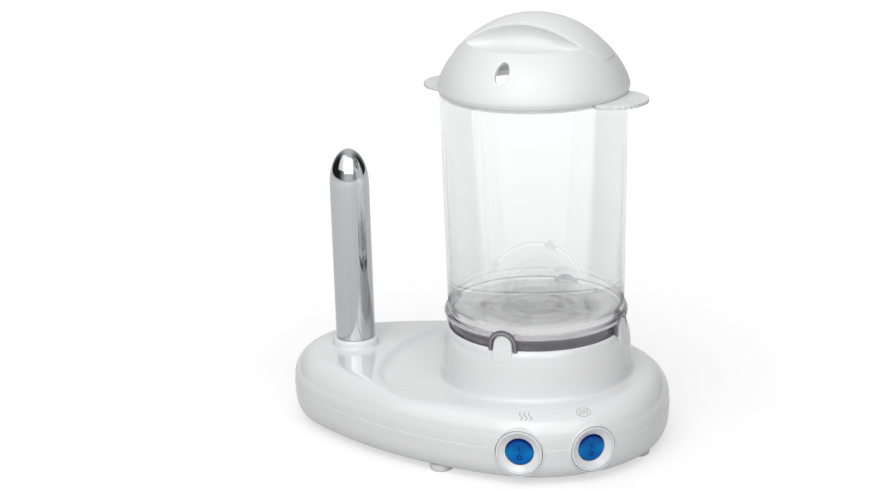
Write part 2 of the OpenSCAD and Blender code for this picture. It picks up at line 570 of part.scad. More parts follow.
upper_housing();
lower_housing();
feet();
housing_screws();
heating_plate();
plate_seal();
plate_studs();
plate_nuts();
heater_element();
heater_insulators();
heater_tabs();
thermostat();
thermostat_strap();
strap_studs();
strap_nuts();
thermal_fuse();
spike_tube();
spike_core();
spike_heater();
spike_flange();
spike_screws();
bezel_left();
switch_body_left();
rocker_left();
contact_lever_left();
terminals_left();
lamp_left();
bezel_right();
switch_body_right();
rocker_right();
contact_lever_right();
terminals_right();
lamp_right();
cord_gland();
terminal_block();
terminal_screws();
leads_live();
leads_switched();
leads_neutral();
leads_earth();
container();
lid();
lid_handle();
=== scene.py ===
import json
import bmesh
import bpy
import numpy as np
from mathutils import Matrix, Vector
from mathutils.geometry import delaunay_2d_cdt


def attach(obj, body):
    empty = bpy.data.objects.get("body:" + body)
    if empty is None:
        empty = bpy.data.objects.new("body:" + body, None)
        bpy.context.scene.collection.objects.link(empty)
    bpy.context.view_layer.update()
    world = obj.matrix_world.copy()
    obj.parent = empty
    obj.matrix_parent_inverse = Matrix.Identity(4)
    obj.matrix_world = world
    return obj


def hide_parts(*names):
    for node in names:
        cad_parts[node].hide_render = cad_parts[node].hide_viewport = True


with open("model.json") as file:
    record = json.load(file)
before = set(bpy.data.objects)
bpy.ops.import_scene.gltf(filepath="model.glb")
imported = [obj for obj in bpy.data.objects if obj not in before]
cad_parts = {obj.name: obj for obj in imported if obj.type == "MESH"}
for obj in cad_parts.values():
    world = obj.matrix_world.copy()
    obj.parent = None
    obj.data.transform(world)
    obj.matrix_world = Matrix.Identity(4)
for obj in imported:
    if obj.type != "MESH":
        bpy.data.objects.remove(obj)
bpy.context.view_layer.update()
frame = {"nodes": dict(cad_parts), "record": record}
scene = bpy.context.scene
nodes = frame["nodes"]

# Sizes of the frame in millimetres, which MM turns into metres; points within SEAM metres are merged
MM, SEAM = 0.001, 2e-6

# Plan of the base: two round ends joined by two long flanks
BASE_LENGTH, BASE_DEPTH = 284.0, 190.0
BIG_R = BASE_DEPTH / 2 - 0.5
SMALL_R = 0.7037 * BIG_R
FLANK_R = 1.0453 * BASE_LENGTH
BIG_X = BASE_LENGTH / 2 - BIG_R
SMALL_X = SMALL_R - BASE_LENGTH / 2
FLANK_GAP = BIG_X - SMALL_X
FLANK_X = BIG_X - ((FLANK_R - BIG_R)**2 - (FLANK_R - SMALL_R)**2 + FLANK_GAP**2) / (2 * FLANK_GAP)
FLANK_Y = -np.sqrt((FLANK_R - BIG_R)**2 - (BIG_X - FLANK_X)**2)
BIG_TURN = np.arctan2(-FLANK_Y, BIG_X - FLANK_X)
SMALL_TURN = np.arctan2(-FLANK_Y, SMALL_X - FLANK_X)

# Housings: heights, wall and shoulder, lips, gap and step at the parting line, edge of the pan, feet
Z_BOTTOM, Z_PART, Z_TOP = 5.0, 28.24, 52.0
WALL, EDGE_R = 2.5, 19.0
UPPER_LIP, LOWER_LIP, PART_GAP, PART_STEP = 0.15, 0.5, 0.02, 0.4
FOOT_IN, FOOT_RISE = 8.0, 16.0
FEET, FOOT_PAD_R = ((6, -80), (6, 80), (126, -8), (-124, 0)), 8.6

# Container, and its seat in the base's collar
SEAT_X, RIM_R, Z_RIM = BIG_X - 0.5, 65.0, 256.2
FOOT_R, RIM_IN = RIM_R - 2.5, RIM_R - 2.2
COLLAR_R, COLLAR_IN, COLLAR_FILLET, LEDGE_IN = RIM_R + 2.4, FOOT_R - 0.5, 3.5, 56.8
Z_SHOULDER, Z_LEDGE, Z_COLLAR = Z_TOP + 17.5, Z_TOP + 22.5, Z_TOP + 35.5
SKIRT_IN, SKIRT_R, Z_SKIRT, Z_SKIRT_TOP = 59.2, 61.2, 76.55, 94.5
LIP_R, WALL_FOOT_R, Z_WALL_FOOT = 65.2, 62.6, 99.7
FLOOR_R, FLOOR_UNDER, Z_FLOOR = 50.0, 94.8, 97.0
TONGUE_W, TONGUE_Z, EAR_TURN = 13.6, 90.7, np.radians(-8.0)
QUARTERS = np.pi / 2 * np.arange(4)

# Drip dish round the collar
DISH_Z, DISH_SLOPE = Z_TOP - 0.6, np.tan(np.radians(2.4))
DISH_IN, DISH_OUT, DISH_LIP, DECK_SOFT = 106.0, 119.0, 1.2, 1.6

# Spike and its ring
SPIKE_X, SPIKE_R, RING_R = 44 - BASE_LENGTH / 2, 14.5, 17.2
Z_RING, Z_TIP = 57.6, 202.0

# Switches, by the turn of their axes
SWITCHES = {"left": np.radians(13.1), "right": np.radians(44.7)}
SWITCH_Z, SWITCH_R = Z_PART - 3.0, 93.7
HOLE_R, BEZEL_R, WELL_R, ROCKER_R = 16.32, 16.0, 9.9, 9.55
PIVOT_U, THROW = -7.5, np.radians(7.0)

# Lid: dome, finger ledges, and the grip bar, whose bed lies below the dome and whose cover stands above it
LID_R, Z_WIDE, DOME_RISE, LID_WALL = RIM_R + 1.3, Z_RIM + 3.6, 48.6, 2.6
DOME_SIDE, DOME_TOP = 0.98, 1.4
Z_GRIP, LEDGE_SOFT, SCOOP = 290.5, 0.4, 2.4
BAR_L, BAR_W, BAR_POWER, BAR_BED, BAR_PROUD = 55.5, 20.0, 3.7, 1.2, 0.7
VENT_R, VENT_TURN, VENT_A, VENT_B = 57.0, -np.pi / 2, 5.0, 8.5


def ring(n):
    """Evenly spaced turns of a full circle, in radians."""
    return np.linspace(0, 2 * np.pi, n, endpoint=False)


def smooth_step(low, high, x):
    """0 below low, 1 above high, and the cubic 3t^2 - 2t^3 between them."""
    t = np.clip((x - low) / (high - low), 0, 1)
    return t * t * (3 - 2 * t)


def soft_min(a, b, k):
    """The smaller of two heights, with a parabola of width k where they cross."""
    h = np.maximum(k - np.abs(a - b), 0) / k
    return np.minimum(a, b) - h * h * k / 4


def soft_positive(x, e):
    """x where it is positive, 0 where it is negative, joined by the hyperbola (x + sqrt(x^2 + e^2))/2."""
    return (x + np.sqrt(x * x + e * e)) / 2


def fillet(corners, radii, steps=6):
    """A closed profile whose corners become arcs.

    Each arc touches both sides of its corner at radius/tan(half angle) from it.
    """
    p, r = np.asarray(corners, float), np.asarray(radii, float)[:, None]
    u, w = np.roll(p, 1, 0) - p, np.roll(p, -1, 0) - p
    u, w = u / np.linalg.norm(u, axis=1)[:, None], w / np.linalg.norm(w, axis=1)[:, None]
    half = np.arccos(np.clip((u * w).sum(1), -1, 1))[:, None] / 2
    middle = u + w
    middle = middle / np.maximum(np.linalg.norm(middle, axis=1)[:, None], 1e-9)
    centre = p + middle * r / np.sin(half)
    a, b = p + u * r / np.tan(half) - centre, p + w * r / np.tan(half) - centre
    t, swing = np.linspace(0, 1, steps)[None, :, None], (np.pi - 2 * half)[:, None]
    swing = np.maximum(swing, 1e-4)
    arc = (a[:, None] * np.sin((1 - t) * swing) + b[:, None] * np.sin(t * swing)) / np.sin(swing)
    return (centre[:, None] + arc).reshape(-1, 2)


def grid(points, wrap_u=False, wrap_v=False):
    """Quads between neighbours of a grid of points; a wrapped direction joins its last row to its first."""
    index = np.arange(points.shape[0] * points.shape[1]).reshape(points.shape[:2])
    if wrap_u:
        index = np.concatenate([index, index[:1]], 0)
    if wrap_v:
        index = np.concatenate([index, index[:, :1]], 1)
    quads = np.stack([index[:-1, :-1], index[1:, :-1], index[1:, 1:], index[:-1, 1:]], -1)
    return points.reshape(-1, 3), quads.reshape(-1, 4)


def revolve(profile, x, n):
    """A closed profile of (radius, height) points turned about the upright axis through (x, 0)."""
    turn, (r, z) = ring(n)[:, None], profile.T
    points = np.stack([x + r * np.cos(turn), r * np.sin(turn), z + 0 * turn], -1)
    return grid(points, True, True)


def place(theta, reach, z):
    """A point by its turn about the container's seat, its distance from that axis and its height."""
    theta, reach, z = np.broadcast_arrays(theta, reach, z)
    return np.stack([SEAT_X + reach * np.cos(theta), reach * np.sin(theta), z], -1)


def plate(outer, holes, low, high):
    """A flat plate with holes: both faces are triangulated between the loops, and each hole gets a wall."""
    loops = [np.asarray(outer)] + [np.asarray(h) for h in holes]
    starts = np.cumsum([0] + [len(l) for l in loops])
    steps = [np.arange(len(l)) for l in loops]
    edges = np.concatenate([np.stack([i, (i + 1) % len(i)], 1) + s for s, i in zip(starts, steps)])
    flat = delaunay_2d_cdt([Vector(p) for p in np.concatenate(loops)], edges.tolist(), [], 2, 1e-6)
    plan, triangles = np.array([tuple(p) for p in flat[0]]), np.array(flat[2])
    faces = [(np.c_[plan, np.full(len(plan), z)], triangles) for z in (low, high)]
    walls = [grid(np.stack([np.c_[h, np.full(len(h), low)], np.c_[h, np.full(len(h), high)]], 1), True)
             for h in loops[1:]]
    return faces + walls


def piece(name, body, finish, surfaces, replaces=(), sharp=38):
    """One mesh of several surfaces in millimetres, riding on a body.

    Its seams are merged, its faces turned outward, and edges over an angle in degrees stay sharp.
    """
    starts = np.cumsum([0] + [len(p) for p, f in surfaces])
    points = np.concatenate([p for p, f in surfaces]) * MM
    corners = np.concatenate([(f + s).ravel() for (p, f), s in zip(surfaces, starts)])
    sides = np.concatenate([np.full(len(f), f.shape[1]) for p, f in surfaces])
    mesh = bpy.data.meshes.new(name)
    mesh.vertices.add(len(points))
    mesh.vertices.foreach_set("co", points.astype(np.float32).ravel())
    mesh.loops.add(len(corners))
    mesh.loops.foreach_set("vertex_index", corners.astype(np.int32))
    mesh.polygons.add(len(sides))
    mesh.polygons.foreach_set("loop_start", (np.cumsum(sides) - sides).astype(np.int32))
    mesh.update(calc_edges=True)
    form = bmesh.new()
    form.from_mesh(mesh)
    bmesh.ops.remove_doubles(form, verts=form.verts, dist=SEAM)
    bmesh.ops.recalc_face_normals(form, faces=form.faces)
    form.to_mesh(mesh)
    form.free()
    mesh.polygons.foreach_set("use_smooth", np.ones(len(mesh.polygons), bool))
    mesh.set_sharp_from_angle(angle=np.radians(sharp))
    mesh.materials.append(finish)
    thing = bpy.data.objects.new(name, mesh)
    scene.collection.objects.link(thing)
    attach(thing, body)
    if replaces:
        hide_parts(*replaces)


# Finishes

class Wire:
    """One output of a node; arithmetic on it adds Math nodes to the same tree."""

    def __init__(self, tree, socket):
        self.tree, self.socket = tree, socket

    def math(self, operation, *others):
        """This value, and any others, through a Math node."""
        return self.tree.math(operation, self, *others)

    def __add__(self, other):
        return self.math("ADD", other)

    def __radd__(self, other):
        return self.tree.math("ADD", other, self)

    def __sub__(self, other):
        return self.math("SUBTRACT", other)

    def __rsub__(self, other):
        return self.tree.math("SUBTRACT", other, self)

    def __mul__(self, other):
        return self.math("MULTIPLY", other)

    def __rmul__(self, other):
        return self.tree.math("MULTIPLY", other, self)

    def __pow__(self, other):
        return self.math("POWER", other)

    def __abs__(self):
        return self.math("ABSOLUTE")

    def below(self, edge, soft):
        """1 where the value is under edge, 0 over it, with a soft border."""
        return self.tree.node("ShaderNodeMapRange", {"clamp": True},
                              {"Value": self, 1: edge - soft, 2: edge + soft, 3: 1.0, 4: 0.0})


class Tree:
    """A tree of shader nodes, of a material or of the world."""

    def __init__(self, tree):
        self.tree = tree

    def node(self, kind, settings, inputs, out=0):
        """Adds a node of a kind: its settings first, then its sockets' values or links; gives one output."""
        made = self.tree.nodes.new(kind)
        for key, value in settings.items():
            setattr(made, key, value)
        for key, value in inputs.items():
            if isinstance(value, Wire):
                self.tree.links.new(value.socket, made.inputs[key])
            else:
                made.inputs[key].default_value = value
        return Wire(self, made.outputs[out])

    def math(self, operation, *values):
        """A Math node on some values."""
        return self.node("ShaderNodeMath", {"operation": operation}, dict(enumerate(values)))


class Finish(Tree):
    """A material made of nodes round one Principled shader."""

    def __init__(self, name, **constants):
        self.material = bpy.data.materials.new(name)
        self.material.use_nodes = True
        super().__init__(self.material.node_tree)
        self.shader = self.tree.nodes["Principled BSDF"]
        for key, value in constants.items():
            self.shader.inputs[key.replace("_", " ")].default_value = value
        self.object = self.node("ShaderNodeTexCoord", {}, {}, "Object")

    def set(self, socket, wire):
        """Feeds one socket of the shader."""
        self.tree.links.new(wire.socket, self.shader.inputs[socket])

    def noise(self, scale, detail=2.0, stretch=(1, 1, 1)):
        """Noise from -0.5 to 0.5 on Object coordinates, with a stretch along the axes."""
        stretched = self.node("ShaderNodeMapping", {}, {"Vector": self.object, "Scale": stretch})
        return self.node("ShaderNodeTexNoise", {},
                         {"Vector": stretched, "Scale": scale, "Detail": detail}) - 0.5

    def mix(self, amount, a, b):
        """A colour between two others."""
        return self.node("ShaderNodeMix", {"data_type": "RGBA"}, {0: amount, 6: a, 7: b}, 2)

    def veil(self, factor, other):
        """Puts another shader over what the surface has, by a factor."""
        surface = self.tree.nodes["Material Output"].inputs["Surface"]
        under = Wire(self, surface.links[0].from_socket)
        mixed = self.node("ShaderNodeMixShader", {}, {0: factor, 1: under, 2: other})
        self.tree.links.new(mixed.socket, surface)

    def bump(self, height, strength, distance):
        """Feeds the normal from a height, in metres times distance."""
        self.set("Normal", self.node("ShaderNodeBump", {},
                                     {"Height": height, "Strength": strength, "Distance": distance}))


def shade(colour, k):
    """A colour times k, with full alpha."""
    return (*[c * k for c in colour], 1.0)


def moulded(name, colour, roughness, coat=0.0, grain=0.012):
    """Injection-moulded plastic: faint clouds in its tone and gloss, and a fine orange peel."""
    f = Finish(name, IOR=1.5, Coat_Roughness=0.06, Coat_Weight=coat)
    clouds = f.noise(14, 3)
    f.set("Base Color", f.mix(clouds + 0.5, shade(colour, 0.985), shade(colour, 1.01)))
    f.set("Roughness", f.noise(40, 3) * 0.10 + roughness)
    f.bump(f.noise(420, 2) + 0.5 * f.noise(1500, 1), grain, 0.001)
    return f.material


def metal(name, colour, roughness, stretch, lines=0.15, grain=0.05):
    """Metal with polishing lines: noise drawn out along one axis varies its tone, gloss and height."""
    f = Finish(name, Metallic=1.0)
    streak = f.noise(300, 3, stretch)
    f.set("Base Color", f.mix(streak + 0.5, shade(colour, 0.93), shade(colour, 1.03)))
    f.set("Roughness", abs(streak) * lines + roughness)
    f.bump(streak, grain, 0.0004)
    return f.material


WHITE = moulded("white_gloss", (0.80, 0.803, 0.81), 0.12, coat=0.5)
LID_WHITE = moulded("lid_white", (0.82, 0.823, 0.825), 0.3)
PRINT = moulded("grey_print", (0.30, 0.30, 0.31), 0.4)
FINISHES = {
    "white_gloss": WHITE,
    "lid_white": LID_WHITE,
    "foot_rubber": moulded("foot_rubber", (0.76, 0.76, 0.755), 0.5, grain=0.06),
    "screw_steel": metal("screw_steel", (0.50, 0.50, 0.52), 0.28, (1, 1, 1)),
    "plate_steel": metal("plate_steel", (0.74, 0.74, 0.75), 0.26, (1, 1, 1)),
    "silicone": moulded("silicone", (0.60, 0.58, 0.54), 0.5, grain=0.03),
    "heater_sheath": metal("heater_sheath", (0.22, 0.21, 0.20), 0.45, (1, 1, 1)),
    "ceramic": moulded("ceramic", (0.78, 0.76, 0.70), 0.35, grain=0.05),
    "brass": metal("brass", (0.72, 0.55, 0.24), 0.3, (1, 1, 1)),
    "black_plastic": moulded("black_plastic", (0.03, 0.03, 0.033), 0.4, grain=0.04),
    "spike_chrome": metal("spike_chrome", (0.60, 0.61, 0.63), 0.07, (1, 1, 0.02), 0.06, 0.015),
    "cast_aluminium": metal("cast_aluminium", (0.6, 0.6, 0.62), 0.42, (1, 1, 1), grain=0.2),
    "switch_plastic": moulded("switch_plastic", (0.72, 0.71, 0.66), 0.4, grain=0.03),
    "lamp_glass": moulded("lamp_glass", (0.75, 0.25, 0.08), 0.1),
    "gland_plastic": moulded("gland_plastic", (0.74, 0.745, 0.75), 0.42, grain=0.03),
    "lead_brown": moulded("lead_brown", (0.10, 0.045, 0.02), 0.42, grain=0.03),
    "lead_black": moulded("lead_black", (0.018, 0.018, 0.02), 0.42, grain=0.03),
    "lead_blue": moulded("lead_blue", (0.02, 0.08, 0.32), 0.42, grain=0.03),
    "lead_green": moulded("lead_green", (0.10, 0.32, 0.03), 0.42, grain=0.03),
}


def clear(name, roughness, thin, tone=(0.985, 0.99, 0.99)):
    """Clear styrene, which lets light through into shadows.

    The tub's wall is thin and straight to look through, its skirt below the lip has painted shade with level
    lines of painted reflection in it, its floor is hazy, and faint flow lines show in its gloss and height.
    """
    skirt_top, skirt_in, wall_low = 95.5 * MM, 57.5 * MM, 104.0 * MM
    floor_low, floor_top, floor_out = 93.5 * MM, 97.5 * MM, 59.0 * MM
    f = Finish(name, IOR=1.45, Transmission_Weight=1.0)
    flow = f.noise(30, 3, (1, 1, 0.25))
    x, y, z = [f.node("ShaderNodeSeparateXYZ", {}, {0: f.object}, axis) for axis in "XYZ"]
    reach = ((x - SEAT_X * MM) ** 2.0 + y * y) ** 0.5
    skirt = z.below(skirt_top, 0.5 * MM) * (1.0 - reach.below(skirt_in, 0.5 * MM))
    # Painted shade on the skirt below the lip, with level lines of painted reflection across it
    painted_reflection_streaks = f.noise(40, 2, (0.25, 0.25, 14))
    painted_skirt_shade = f.mix(painted_reflection_streaks * 1.6 + 0.45, (0.32, 0.31, 0.35, 1), (0.86, 0.85, 0.88, 1))
    f.set("Base Color", f.mix(skirt, shade(tone, 1.0), painted_skirt_shade))
    f.set("Roughness", abs(flow) * 0.03 + roughness + skirt * 0.12)
    f.bump(flow, 0.004, 0.001)
    level = z.below(floor_top, 0.3 * MM) * (1.0 - z.below(floor_low, 0.3 * MM))
    haze = level * reach.below(floor_out, 1.0 * MM)
    f.veil(haze * 0.5, f.node("ShaderNodeBsdfDiffuse", {}, {"Color": (0.84, 0.825, 0.83, 1)}))
    shadow = f.node("ShaderNodeLightPath", {}, {}, "Is Shadow Ray")
    straight = (1.0 - z.below(wall_low, 1.0 * MM)) * thin
    f.veil(shadow.math("MAXIMUM", straight),
           f.node("ShaderNodeBsdfTransparent", {}, {"Color": (0.96, 0.965, 0.965, 1)}))
    return f.material


def thick_clear(name, tone):
    """Thick clear styrene, as in the arches: grey with a trace of violet, in clouds that half hide; a dark
    copy paints shade and a pale copy paints light on the arches' ribs.
    """
    f = Finish(name, IOR=1.45, Transmission_Weight=0.6, Coat_Weight=0.6, Coat_Roughness=0.03)
    clouds = f.noise(120, 2)
    f.set("Base Color", f.mix(clouds + 0.5, shade(tone, 0.7), shade(tone, 1.3)))
    f.set("Roughness", abs(clouds) * 0.05 + 0.04)
    f.bump(clouds, 0.02, 0.001)
    return f.material


def milky(name):
    """Clear styrene with a matt, ridged top: hazy white, with a sine wave across it that paints shade and
    light along its ridges.
    """
    pitch = 2.6 * MM
    f = Finish(name, IOR=1.45, Transmission_Weight=0.1, Roughness=0.4)
    y = f.node("ShaderNodeSeparateXYZ", {}, {0: f.object}, "Y")
    wave = (y * (2 * np.pi / pitch)).math("SINE")
    # Painted shade and light: the tone follows the ridges' sine wave, with random clouds
    painted_ridge_shade_and_clouds = wave * 0.35 + f.noise(60, 3) + 0.5
    f.set("Base Color", f.mix(painted_ridge_shade_and_clouds, (0.80, 0.81, 0.81, 1), (0.97, 0.975, 0.975, 1)))
    f.bump(wave + f.noise(300, 2), 0.5, 0.0005)
    return f.material


FINISHES["clear_plastic"] = clear("clear_plastic", 0.012, 0.62)
# Dark and pale copies of one clear: painted shade and painted light for the arches' lines
ARCH_PAINTED_SHADE = thick_clear("clear_arch_painted_shade", (0.22, 0.20, 0.24))
ARCH_PAINTED_LIGHT = thick_clear("clear_arch_painted_light", (0.52, 0.50, 0.54))
MILKY = milky("clear_ridged")


def rocker_finish(angle):
    """Tinted key: blue with painted shade deeper towards its edge, a painted sheen across its middle, a dark
    bar above and a dark ring below the middle.
    """
    mark_v, bar_half, ring_r, line, soft = 3.4, 1.9, 1.5, 0.3, 0.08
    f = Finish("blue_rocker", IOR=1.5, Specular_IOR_Level=0.12)
    out = Vector((np.sin(angle), -np.cos(angle), 0))
    along = Vector((np.cos(angle), np.sin(angle), 0))
    turn = Matrix((along, Vector((0, 0, 1)), out))
    origin = (Vector((BIG_X, 0, SWITCH_Z)) + out * SWITCH_R) * MM
    local = f.node("ShaderNodeMapping", {}, {"Vector": f.object, "Rotation": turn.to_euler(),
                                             "Location": -(turn @ origin)})
    x, v = [f.node("ShaderNodeSeparateXYZ", {}, {0: local}, axis) * (1 / MM) for axis in "XY"]
    v = v + 1.0
    reach = (x * x + v * v) ** 0.5
    low = (x * x + (v + mark_v) ** 2.0) ** 0.5
    bar = abs(x).below(line, soft) * abs(v - mark_v).below(bar_half, soft)
    loop = abs(low - ring_r).below(line, soft)
    # Painted shade: the blue darkens towards the key's rim, where the bezel's well would shade it
    body = f.mix(reach.below(8.9, 0.9), (0.004, 0.022, 0.22, 1), (0.0, 0.12, 0.44, 1))
    # Painted sheen: a paler band across the middle, growing to the sides, stands in for light on the key
    painted_sheen = abs(v).below(3.0, 3.0) * (abs(x) * 0.16 + f.noise(160, 2))
    blue_with_painted_light_and_shade = f.mix(painted_sheen, body, (0.0, 0.20, 0.56, 1))
    f.set("Base Color", f.mix((bar + loop).math("MINIMUM", 1.0), blue_with_painted_light_and_shade, (0.002, 0.012, 0.07, 1)))
    f.set("Roughness", f.noise(300, 2) * 0.1 + 0.2)
    f.bump(f.noise(500, 2), 0.03, 0.001)
    return f.material


# Base

def outline(turn, inset):
    """The outline by the turn of its normal: the centre of the arc there, plus its radius less the inset."""
    turn, inset = np.broadcast_arrays(turn, inset)
    side = np.abs(turn)
    big, small = side <= BIG_TURN, side >= SMALL_TURN
    radius = np.where(big, BIG_R, np.where(small, SMALL_R, FLANK_R)) - inset
    x = np.where(big, BIG_X, np.where(small, SMALL_X, FLANK_X))
    y = np.where(big | small, 0.0, np.sign(turn) * FLANK_Y)
    return x + radius * np.cos(turn), y + radius * np.sin(turn)


def even_turns(low, high, step):
    """Turns from low to high, about step millimetres apart along the outline."""
    fine = np.linspace(low, high, 4000)
    x, y = outline(fine, 0)
    run = np.concatenate([[0], np.cumsum(np.hypot(np.diff(x), np.diff(y)))])
    return np.interp(np.linspace(0, run[-1], max(int(run[-1] / step), 3)), run, fine)


def hole_turns(angle, n=44):
    """Turns across a switch hole, spaced as the points of its circle are."""
    return angle - np.pi / 2 + np.arcsin(-np.cos(np.linspace(0, np.pi, n)) * (HOLE_R + 0.02) / BIG_R)


LEFT, RIGHT = hole_turns(SWITCHES["left"]), hole_turns(SWITCHES["right"])
TURNS = np.concatenate([LEFT, even_turns(LEFT[-1], RIGHT[0], 2.2)[1:-1], RIGHT,
                        even_turns(RIGHT[-1], LEFT[0] + 2 * np.pi, 2.2)[1:-1]])
TURNS = (TURNS + np.pi) % (2 * np.pi) - np.pi


def upper_section(q):
    """Inset and height of the upper wall by length q above the parting: straight, then a quarter circle."""
    rise = Z_TOP - EDGE_R - Z_PART
    a = np.clip((q - rise) / EDGE_R, 0, np.pi / 2)
    return EDGE_R * (1 - np.cos(a)), Z_PART + np.minimum(q, rise) + EDGE_R * np.sin(a)


def lower_section(q):
    """Inset and height of the lower wall: a quarter ellipse for q up to 1, then straight up."""
    a = np.clip(q, 0, 1) * np.pi / 2
    straight = np.maximum(q - 1, 0) * (Z_PART - Z_BOTTOM - FOOT_RISE)
    return FOOT_IN * (1 - np.sin(a)), Z_BOTTOM + FOOT_RISE * (1 - np.cos(a)) + straight


def hole_edge(section, q_of, side):
    """Height of the switch holes' edge along the outline, above (side 1) or below (side -1) their middles.

    Each hole is a circle seen along its switch's axis, and the height is found by repeated guess.
    """
    first_guess, guesses = 0.8, 6
    best = np.full(TURNS.shape, np.nan)
    for angle in SWITCHES.values():
        z = np.full(TURNS.shape, SWITCH_Z + side * HOLE_R * first_guess)
        for _ in range(guesses):
            x, y = outline(TURNS, section(q_of(z))[0])
            offset = (x - BIG_X) * np.cos(angle) + y * np.sin(angle)
            z = SWITCH_Z + side * np.sqrt(np.maximum(HOLE_R**2 - offset**2, 0))
        front = (x - BIG_X) * np.sin(angle) - y * np.cos(angle) > 0
        best = np.where(front & (np.abs(offset) < HOLE_R), z, best)
    return best


def upper_length(z):
    """Length q of the upper section at a height z."""
    rise = Z_TOP - EDGE_R
    bend = np.arcsin(np.clip((z - rise) / EDGE_R, 0, 1))
    return np.where(z < rise, z - Z_PART, rise - Z_PART + EDGE_R * bend)


def lower_length(z):
    """Length q of the lower section at a height z."""
    low = np.arccos(np.clip(1 - (z - Z_BOTTOM) / FOOT_RISE, -1, 1)) / (np.pi / 2)
    high = 1 + (z - Z_BOTTOM - FOOT_RISE) / (Z_PART - Z_BOTTOM - FOOT_RISE)
    return np.where(z < Z_BOTTOM + FOOT_RISE, low, high)


def dish(x, y):
    """Height of the drip dish: a floor that falls towards the spike, with a soft wall about the seat."""
    reach = np.hypot(x - SEAT_X, y)
    floor = DISH_Z + (x - SEAT_X) * DISH_SLOPE
    wall = (Z_TOP + DISH_LIP - floor) * smooth_step(DISH_IN, DISH_OUT, reach)
    return floor + wall + 2 * np.maximum(reach - DISH_OUT + 1, 0)


def deck(x, y, z):
    """A height of the housing's top, cut down softly to the dish."""
    return soft_min(z, dish(x, y), DECK_SOFT)


def on_deck(theta, reach, depth):
    """Points of the deck by turn and distance from the seat's axis, a depth below its face."""
    x, y = SEAT_X + reach * np.cos(theta), reach * np.sin(theta)
    return np.stack([x, y, deck(x, y, Z_TOP) - depth], -1)


def upper_shell():
    """The upper housing: a closed profile carried round the outline.

    It runs up the wall, over the deck, up the collar, down into the seat and back inside at the wall's
    thickness.
    """
    columns = TURNS[:, None]
    edge = np.nan_to_num(hole_edge(upper_section, upper_length, 1), nan=0.0)
    start = upper_length(np.maximum(edge, Z_PART + PART_GAP))[:, None]
    rise = Z_TOP - EDGE_R - Z_PART
    end = rise + EDGE_R * np.pi / 2
    b = np.linspace(0, np.pi / 2, 5)
    lip_in, lip_q = UPPER_LIP * (1 - np.sin(b)), start + UPPER_LIP * (1 - np.cos(b))
    main_q = start + UPPER_LIP + (end - start - UPPER_LIP) * np.linspace(0, 1, 30)[1:]
    inset, z = upper_section(np.concatenate([lip_q, main_q], 1))
    inset = inset + np.concatenate([lip_in, np.zeros(main_q.shape[1])])
    x, y = outline(columns, inset)
    wall = np.stack([x, y, deck(x, y, z)], -1)
    # Deck, along straight lines from the rounded edge to the collar, with its rows closest at the dish's wall
    away = np.hypot(x[:, -1] - SEAT_X, y[:, -1])[:, None]
    theta = np.arctan2(y[:, -1], x[:, -1] - SEAT_X)[:, None]
    dense, spread = 113.0, 8.0
    fine = np.linspace(60, 200, 3000)
    share = np.cumsum(1 + 7 * np.exp(-((fine - dense) / spread)**2))
    low, high = np.interp(COLLAR_R + COLLAR_FILLET, fine, share), np.interp(away, fine, share)
    reach = np.interp(high + (low - high) * np.linspace(0, 1, 46)[1:], share, fine)
    top = on_deck(theta, reach, 0)
    # Collar, as radius and height by column
    foot = top[:, -1:, 2]
    a = np.linspace(0, np.pi / 2, 7)[1:]
    fil_r, fil_z = COLLAR_R + COLLAR_FILLET * (1 - np.sin(a)), foot + COLLAR_FILLET * (1 - np.cos(a))
    side_z = foot + COLLAR_FILLET + (Z_SHOULDER - foot - COLLAR_FILLET) * np.linspace(0, 1, 6)[1:]
    a = np.linspace(0, np.pi / 2, 15)[1:]
    mouth, hollow = FOOT_R + 0.5, COLLAR_R - WALL
    bend_r = mouth + (COLLAR_R - mouth) * np.cos(a)
    bend_z = Z_SHOULDER + (Z_COLLAR - Z_SHOULDER) * np.sin(a)
    seat = np.array([[COLLAR_IN + 0.6, Z_COLLAR - 0.08], [COLLAR_IN + 0.2, Z_COLLAR - 0.3],
                     [COLLAR_IN, Z_COLLAR - 0.7], [COLLAR_IN, 80.0], [COLLAR_IN, Z_LEDGE + 0.7],
                     [COLLAR_IN - 0.2, Z_LEDGE + 0.2], [COLLAR_IN - 0.7, Z_LEDGE], [LEDGE_IN + 0.5, Z_LEDGE],
                     [LEDGE_IN + 0.15, Z_LEDGE - 0.15], [LEDGE_IN, Z_LEDGE - 0.5], [LEDGE_IN, Z_LEDGE - WALL],
                     [hollow, Z_LEDGE - WALL]])
    ones = np.ones_like(foot)
    r = [fil_r * ones, COLLAR_R + 0 * side_z, bend_r * ones, seat[:, 0] * ones, hollow * ones]
    z = [fil_z, side_z, bend_z * ones, seat[:, 1] * ones, foot - WALL]
    collar = place(theta, np.concatenate(r, 1), np.concatenate(z, 1))
    # Inside faces, one wall's thickness in
    under_in = 66.0
    under = on_deck(theta, under_in + (away - under_in) * np.linspace(0, 1, 9), WALL)
    q = end + (start - end) * np.linspace(0, 1, 12)[1:]
    a = np.clip((q - rise) / EDGE_R, 0, np.pi / 2)
    x, y = outline(columns, EDGE_R - (EDGE_R - WALL) * np.cos(a))
    z = np.minimum(upper_section(q)[1], Z_TOP - EDGE_R) + (EDGE_R - WALL) * np.sin(a)
    inner = np.stack([x, y, soft_min(z, dish(x, y) - WALL, DECK_SOFT)], -1)
    return grid(np.concatenate([wall, top, collar, under, inner], 1), True, True)


